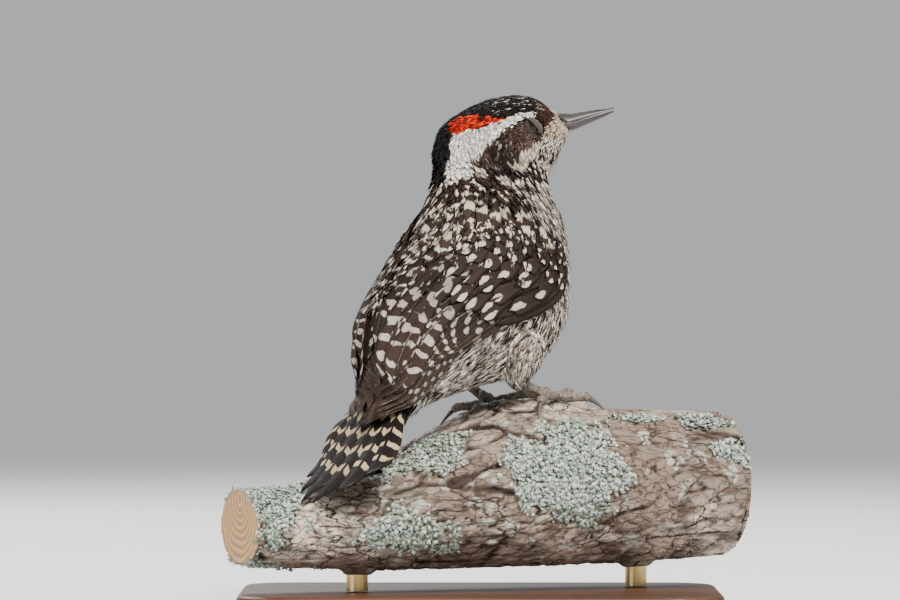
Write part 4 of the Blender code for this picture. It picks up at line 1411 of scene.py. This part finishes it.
# Lichen mats: middle as (x, y, z), size along the limb, size round it.
LICHEN_MATS = (
    ((25.0, -24.0, 44.0), 17.0, 16.0),
    ((32.0, -12.0, 58.0), 15.0, 6.0),
    ((-14.0, -16.0, 47.0), 9.0, 8.5),
    ((-22.0, -18.0, 41.0), 9.0, 5.5),
    ((-63.0, -24.0, 32.0), 23.0, 17.0),
    ((-40.0, -14.0, 38.0), 11.0, 4.5),
    ((-22.0, -36.0, 22.0), 20.0, 10.0),
    ((64.0, 8.0, 58.0), 12.0, 6.0),
    ((46.0, 2.0, 58.0), 10.0, 4.0),
    ((70.0, -4.0, 48.0), 5.0, 7.0),
    ((10.0, 8.0, 60.0), 9.0, 7.0),
    ((56.0, -18.0, 22.0), 12.0, 6.0),
    ((10.0, 34.0, 46.0), 20.0, 14.0),
    ((-38.0, 12.0, 34.0), 16.0, 12.0),
    ((52.0, 44.0, 44.0), 14.0, 12.0),
)
limb_forward, limb_right = level_ways(LIMB_HEADING)
limb_low, limb_high = (np.array(corner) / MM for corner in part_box("branch"))
limb_middle = (limb_low + limb_high) / 2


def mat_share(points):
    """Where the limb is grown over: 1 inside the mats, 0 outside, with ragged edges."""
    ragged = 0.16 * mottle(points, 7.0, 34) + 0.18 * mottle(points, 3.0, 31)
    ragged += 0.1 * mottle(points, 1.1, 32)
    most = np.zeros(len(points))
    for middle, long, wide in LICHEN_MATS:
        away = points - middle
        along = away @ limb_forward
        round_it = np.linalg.norm(away - along[:, None] * limb_forward, axis=1)
        reach = np.hypot(along / long, round_it / wide) + ragged
        most = np.maximum(most, 1 - smooth_step(0.9, 1.02, reach))
    return most


def wander(place):
    """A soft way that turns slowly from place to place."""
    return Vector([noise.noise(place + Vector((0.0, 0.0, 19.0 * i))) for i in range(3)])


def bark_depth(points):
    """How far bark lies under the limb's solid: flakes, ledges and long crevices."""
    depths = np.empty(len(points))
    for i, (along, across, up) in enumerate(
        np.stack([points @ limb_forward, points @ limb_right, points[:, 2]], -1)
    ):
        place = Vector((along * 0.45, across, up))
        place = place + wander(place * 0.11) * 3.5
        near, _ = noise.voronoi(place * 0.085, distance_metric="DISTANCE", exponent=2.5)
        crevice = max(0.0, 1 - (near[1] - near[0]) / 0.13)
        gate = min(1.0, max(0.0, 0.35 + 1.5 * noise.noise(place * 0.05)))
        small, _ = noise.voronoi(place * 0.3, distance_metric="DISTANCE", exponent=2.5)
        split = max(0.0, 1 - (small[1] - small[0]) / 0.16)
        flake = noise.cell(place * 0.2)
        rough = noise.fractal(place * 0.4, 0.8, 2.1, 4)
        depths[i] = (
            1.5 * gate * crevice ** 1.1 + 0.8 * (1 - 0.5 * gate) * split ** 1.2 + 0.4 * abs(flake)
            + 0.35 - 0.3 * rough
        )
    return np.clip(depths, 0.0, BARK_DEEPEST - BARK_CLEAR)


limb_mesh = remeshed(merged_copy(("branch",)), LIMB_VOXEL)
limb_points = vertex_places(limb_mesh)
limb_outward = vertex_outward(limb_mesh)
limb_sawn = np.abs(limb_outward @ limb_forward) > 0.8
limb_grown = np.where(limb_sawn, 0.0, mat_share(limb_points))
knobs = np.clip(0.5 + 0.5 * mottle(limb_points, 1.2, 33), 0.0, 1.0)
limb_drop = bark_depth(limb_points)
limb_drop = limb_drop * (1 - limb_grown) + limb_grown * (0.25 + 0.55 * knobs)
limb_drop = np.where(limb_sawn, 0.0, limb_drop) + BARK_CLEAR
# round the rods' ends the bark is whole and closes on them
for name in ("stand_rod_front", "stand_rod_back"):
    rod_low, rod_high = (np.array(corner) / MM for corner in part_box(name))
    from_rod = np.linalg.norm((limb_points - (rod_low + rod_high) / 2)[:, :2], axis=1)
    seat = (1 - smooth_step(*ROD_SEAT_REACH, from_rod)) * (limb_points[:, 2] < rod_high[2] + 6.0)
    limb_drop = limb_drop * (1 - seat) - ROD_SEAT * seat
toe_tree = tree_of([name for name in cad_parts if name.startswith(("claw", "toe"))])
from_toes = np.array([toe_tree.find_nearest(Vector(point) * MM)[3] / MM for point in limb_points])
seat = 1 - smooth_step(*TOE_SEAT_REACH, from_toes)
limb_drop = limb_drop * (1 - seat) - TOE_SEAT * seat
move_vertices(limb_mesh, limb_points - limb_outward * limb_drop[:, None])
set_colours(limb_mesh, "relief", np.stack(
    [limb_drop / BARK_DEEPEST, limb_grown, np.zeros(len(limb_drop))], -1))
limb_mesh.shade_smooth()

bark_material, bark_tree, bark_shader = new_material("bark", 0.88, 0.2)
bark_relief = node_of(bark_tree, "SeparateColor", colour_of(bark_tree, "relief")).outputs
bark_place = stretched(bark_tree, Rotation=(0.0, 0.0, radians(-LIMB_HEADING)), Scale=(0.4, 1.0, 1.0))
bark_warp = set_inputs(node_of(bark_tree, "TexNoise", bark_place), Scale=130.0, Detail=4.0)
bark_shift = node_of(
    bark_tree, "VectorMath", bark_warp.outputs["Color"], Vector((0.008, 0.008, 0.008)), bark_place,
    operation="MULTIPLY_ADD").outputs[0]
bark_lines = []
for scale, width in ((130.0, 0.035), (330.0, 0.05)):
    cracks = node_of(bark_tree, "TexVoronoi", bark_shift, feature="DISTANCE_TO_EDGE")
    cracks = set_inputs(cracks, Scale=scale).outputs["Distance"]
    bark_lines.append(ramp_of(bark_tree, cracks, 0.0, width, 1.0, 0.0))
bark_fine = noise_of(bark_tree, 420.0, 7.0, bark_place, 0.68)
bark_wide = ramp_of(bark_tree, noise_of(bark_tree, 34.0, 3.0), 0.4, 0.62)
bark_base = blend_of(bark_tree, bark_wide, (126, 111, 100), (208, 191, 176))
bark_grey = noise_of(bark_tree, 60.0, 5.0, roughness=0.6)
# over the brown: grey weathering, dark grain, then pale scurf
for share, paint in (
    (ramp_of(bark_tree, bark_grey, 0.5, 0.62, 0.0, 0.75), (112, 104, 94)),
    (ramp_of(bark_tree, bark_fine, 0.46, 0.68, 0.0, 0.85), (84, 66, 56)),
    (ramp_of(bark_tree, noise_of(bark_tree, 210.0, 6.0), 0.57, 0.63, 0.0, 0.6), (188, 192, 182)),
):
    bark_base = blend_of(bark_tree, share, bark_base, paint)
# Painted shade in the crevices: thin cracks too fine for the mesh, and the deep parts of the relief, are
# painted dark. This is partly the bark's own dark in them and partly the shade that falls there.
gate = ramp_of(bark_tree, noise_of(bark_tree, 55.0, 2.0), 0.4, 0.54)
crack_and_depth_shade = sum_of(bark_tree, "MAXIMUM", product_of(bark_tree, bark_lines[0], gate),
               product_of(bark_tree, bark_lines[1], 0.6))
# the deeper the relief, the darker: painted shade
crack_and_depth_shade = sum_of(bark_tree, "MAXIMUM", crack_and_depth_shade, ramp_of(bark_tree, bark_relief[0], 0.42, 0.8))
bark_crevice_shade = blend_of(bark_tree, ramp_of(bark_tree, bark_fine, 0.35, 0.65), (26, 20, 17), (70, 56, 48))
lichen_cells = set_inputs(node_of(bark_tree, "TexVoronoi", place_of(bark_tree)), Scale=800.0)
lichen_cells = ramp_of(bark_tree, lichen_cells.outputs["Distance"], 0.3, 0.85)
lichen_crust = blend_of(bark_tree, lichen_cells, (186, 196, 184), (74, 80, 72))
bark_colour = blend_of(bark_tree, crack_and_depth_shade, bark_base, bark_crevice_shade)
dress(
    bark_tree, bark_shader, blend_of(bark_tree, bark_relief[1], bark_colour, lichen_crust),
    sum_of(bark_tree, "SUBTRACT", bark_fine, product_of(bark_tree, crack_and_depth_shade, 0.8)), 0.8, 0.0009)

wood_material, wood_tree, wood_shader = new_material("sawn_wood", 0.8, 0.2)
wood_turned = stretched(
    wood_tree, Rotation=(0.0, 0.0, radians(-LIMB_HEADING)), Location=(0.0, -0.0015, -0.034))
wood_rings = node_of(wood_tree, "TexWave", wood_turned, wave_type="RINGS", rings_direction="X")
set_inputs(wood_rings, Scale=150.0, Distortion=9.0, Detail=5.0, Detail_Scale=0.35)
wood_tree.links.new(
    blend_of(wood_tree, wood_rings.outputs["Fac"], (196, 160, 118), (160, 120, 84)),
    wood_shader.inputs["Base Color"])
limb_mesh.materials.append(bark_material)
limb_mesh.materials.append(wood_material)
face_ways = np.empty(len(limb_mesh.polygons) * 3)
limb_mesh.polygon_normals.foreach_get("vector", face_ways)
ends = np.abs(face_ways.reshape(-1, 3) @ limb_forward) > 0.93
face_spots = np.empty(len(limb_mesh.polygons) * 3)
limb_mesh.polygons.foreach_get("center", face_spots)
from_middle = (face_spots.reshape(-1, 3) / MM - limb_middle) @ limb_forward
ends &= np.abs(from_middle) > END_FROM_MIDDLE
limb_mesh.polygons.foreach_set("material_index", ends.astype(int))
limb_mesh.name = "limb"
add_piece("limb", limb_mesh, ("branch",))

# Lobes: the mats' curled leaves, small and thin, one over another.
LOBE_GAP = 0.96
CLEAR_OF_FEET = 1.7
LOBE_LENGTH = 1.6
LOBE_PALE = (190, 199, 189)
LOBE_GREY = (142, 154, 145)
lichen_material, lichen_tree, lichen_shader = new_material("lichen", 0.85, 0.15)
lichen_along = vane_places(lichen_tree)[2]
lichen_grain = noise_of(lichen_tree, 900.0, 4.0)
# painted shade: each lobe is darker towards its root, where it lies under the lobes over it
lichen_colour = blend_of(lichen_tree, ramp_of(lichen_tree, lichen_along, 0.0, 0.75),
                         (104, 112, 100), colour_of(lichen_tree, "ground"))
lichen_colour = blend_of(lichen_tree, ramp_of(lichen_tree, lichen_grain, 0.45, 0.75, 0.0, 0.4),
                         lichen_colour, (146, 156, 144))
dress(lichen_tree, lichen_shader, lichen_colour, lichen_grain, 0.5, 0.0003)

lobe_draw = np.random.default_rng(91)
feet_tree = tree_of([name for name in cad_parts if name.startswith(("claw", "toe", "tail"))])
grown = np.flatnonzero(limb_grown > 0.35)
picked = lobe_draw.random(len(grown)) < (LIMB_VOXEL / LOBE_GAP) ** 2
grown = [i for i in grown[picked]
         if feet_tree.find_nearest(Vector(limb_points[i]) * MM)[3] > CLEAR_OF_FEET * MM]
starts, up = limb_points[grown], limb_outward[grown]
count = len(starts)
starts = starts - up * 0.9
sideways = unit(np.cross(up, limb_forward))
turn = lobe_draw.uniform(0.0, 2 * pi, (count, 1))
way = limb_forward * np.cos(turn) + sideways * np.sin(turn)
way = unit(way - up * (way * up).sum(-1, keepdims=True))
length = LOBE_LENGTH * lobe_draw.uniform(0.6, 1.25, (count, 1))
curl = lobe_draw.uniform(0.4, 1.3, (count, 1, 1))
share = np.linspace(0.0, 1.0, 4)[None, :, None]
centre = starts[:, None] + (way * length)[:, None] * share + up[:, None] * curl * share ** 1.3
forward = unit(np.gradient(centre, axis=1))
across = unit(np.cross(np.repeat(up[:, None], 4, axis=1), forward))
lobe_ground = np.where(lobe_draw.random((count, 1)) < 0.6, tint(LOBE_PALE), tint(LOBE_GREY))
from_axis = starts - limb_middle
round_limb = np.arctan2(from_axis @ limb_right, from_axis[:, 2])
lay_vanes(
    "lichen", (centre, across, unit(np.cross(forward, across))),
    leaf_widths(length[:, 0] * lobe_draw.uniform(0.7, 1.05, count), 4, 0.5, 0.7, 0.6),
    lobe_ground * spread(lobe_draw, 0.8, 1.1, (count, 1)), tint(LOBE_PALE), lichen_material,
    np.stack([from_axis @ limb_forward, round_limb], -1), seed=92, columns=3, camber=-0.3,
    thick=0.16, round_tip=0.5, fray=0.25, slot="bark",
)


# ---------------------------------------------------------------------------
# Stand: a dark oiled hardwood base with a chamfered edge, and two short rods
# of brushed brass that screw into the limb.
base_material, base_tree, base_shader = new_material("base_wood", 0.42, 0.4)
base_place = stretched(base_tree, Scale=(0.06, 1.0, 1.0))
base_grain = noise_of(base_tree, 700.0, 5.0, base_place, 0.6)
base_share = sum_of(base_tree, "MULTIPLY_ADD", noise_of(base_tree, 110.0, 3.0, base_place), 0.8,
                    product_of(base_tree, base_grain, 0.5))
dress(
    base_tree, base_shader,
    blend_of(base_tree, ramp_of(base_tree, base_share, 0.4, 0.9), (98, 62, 40), (52, 32, 22)),
    base_grain, 0.12, 0.0003)
rod_material, rod_tree, rod_shader = new_material("rod_metal", 0.32, 0.5)
rod_shader.inputs["Metallic"].default_value = 1.0
rod_brush = noise_of(rod_tree, 120.0, 3.0, stretched(rod_tree, Scale=(1.0, 1.0, 40.0)))
rod_tree.links.new(
    blend_of(rod_tree, rod_brush, (168, 138, 88), (212, 186, 134)), rod_shader.inputs["Base Color"])
for name, material in (
    ("stand_base", base_material), ("stand_rod_front", rod_material), ("stand_rod_back", rod_material),
):
    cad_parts[name].data.materials.clear()
    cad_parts[name].data.materials.append(material)


# ---------------------------------------------------------------------------
# Studio: a pale floor that fades into the backdrop's tone, soft light from
# large lamps, and the camera.
FLOOR_TONE = 0.8
BACKDROP = (0.80, 0.81, 0.83, 1.0)
BACKDROP_GLOW = 0.62
FADE_FROM, FADE_TO = 0.35, 2.2      # metres from the middle
LENS = 218.18
CAMERA_PLACE = (-0.00825, -1.5, 0.08773)

floor_shape = bmesh.new()
bmesh.ops.create_circle(floor_shape, cap_ends=True, segments=96, radius=30.0)
floor_mesh = bpy.data.meshes.new("floor")
floor_shape.to_mesh(floor_mesh)
floor_shape.free()
floor = bpy.data.objects.new("floor", floor_mesh)
bpy.context.scene.collection.objects.link(floor)
floor_material, floor_tree, floor_shader = new_material("floor", 0.9, 0.1)
floor_shader.inputs["Base Color"].default_value = (FLOOR_TONE, FLOOR_TONE, FLOOR_TONE, 1.0)
floor_far = node_of(floor_tree, "VectorMath", place_of(floor_tree), operation="LENGTH")
floor_glow = set_inputs(
    node_of(floor_tree, "Emission"), Color=BACKDROP, Strength=BACKDROP_GLOW)
floor_fade = ramp_of(floor_tree, floor_far.outputs["Value"], FADE_FROM, FADE_TO)
floor_mix = node_of(
    floor_tree, "MixShader", floor_fade, floor_shader.outputs[0], floor_glow.outputs[0])
floor_tree.links.new(
    floor_mix.outputs[0], floor_tree.nodes["Material Output"].inputs["Surface"])
floor_mesh.materials.append(floor_material)

world = bpy.data.worlds.new("studio")
world.use_nodes = True
set_inputs(world.node_tree.nodes["Background"], Color=BACKDROP, Strength=BACKDROP_GLOW)
bpy.context.scene.world = world

LAMPS = {
    "key": ((0.35, -0.75, 0.95), 0.35, 36.0, (1.0, 0.95, 0.88)),
    "fill": ((-0.9, -0.6, 0.35), 0.7, 6.0, (0.9, 0.95, 1.0)),
    "rim": ((-0.3, 0.8, 0.8), 0.5, 12.0, (1.0, 1.0, 1.0)),
}
LAMPS_AIM = (0.0, 0.0, 0.09)
for name, (place, size, power, colour) in LAMPS.items():
    lamp = bpy.data.lights.new(name, "AREA")
    lamp.size = size
    lamp.energy = power
    lamp.color = colour
    holder = bpy.data.objects.new(name, lamp)
    holder.location = place
    aim = Vector(LAMPS_AIM) - Vector(place)
    holder.rotation_euler = aim.to_track_quat("-Z", "Y").to_euler()
    bpy.context.scene.collection.objects.link(holder)

camera = bpy.data.objects.new("camera", bpy.data.cameras.new("camera"))
camera.data.sensor_width = 36.0
camera.data.lens = LENS
camera.data.clip_start = 0.05
camera.data.clip_end = 100.0
camera.location = CAMERA_PLACE
camera.rotation_euler = (pi / 2, 0.0, 0.0)
bpy.context.scene.collection.objects.link(camera)
bpy.context.scene.camera = camera
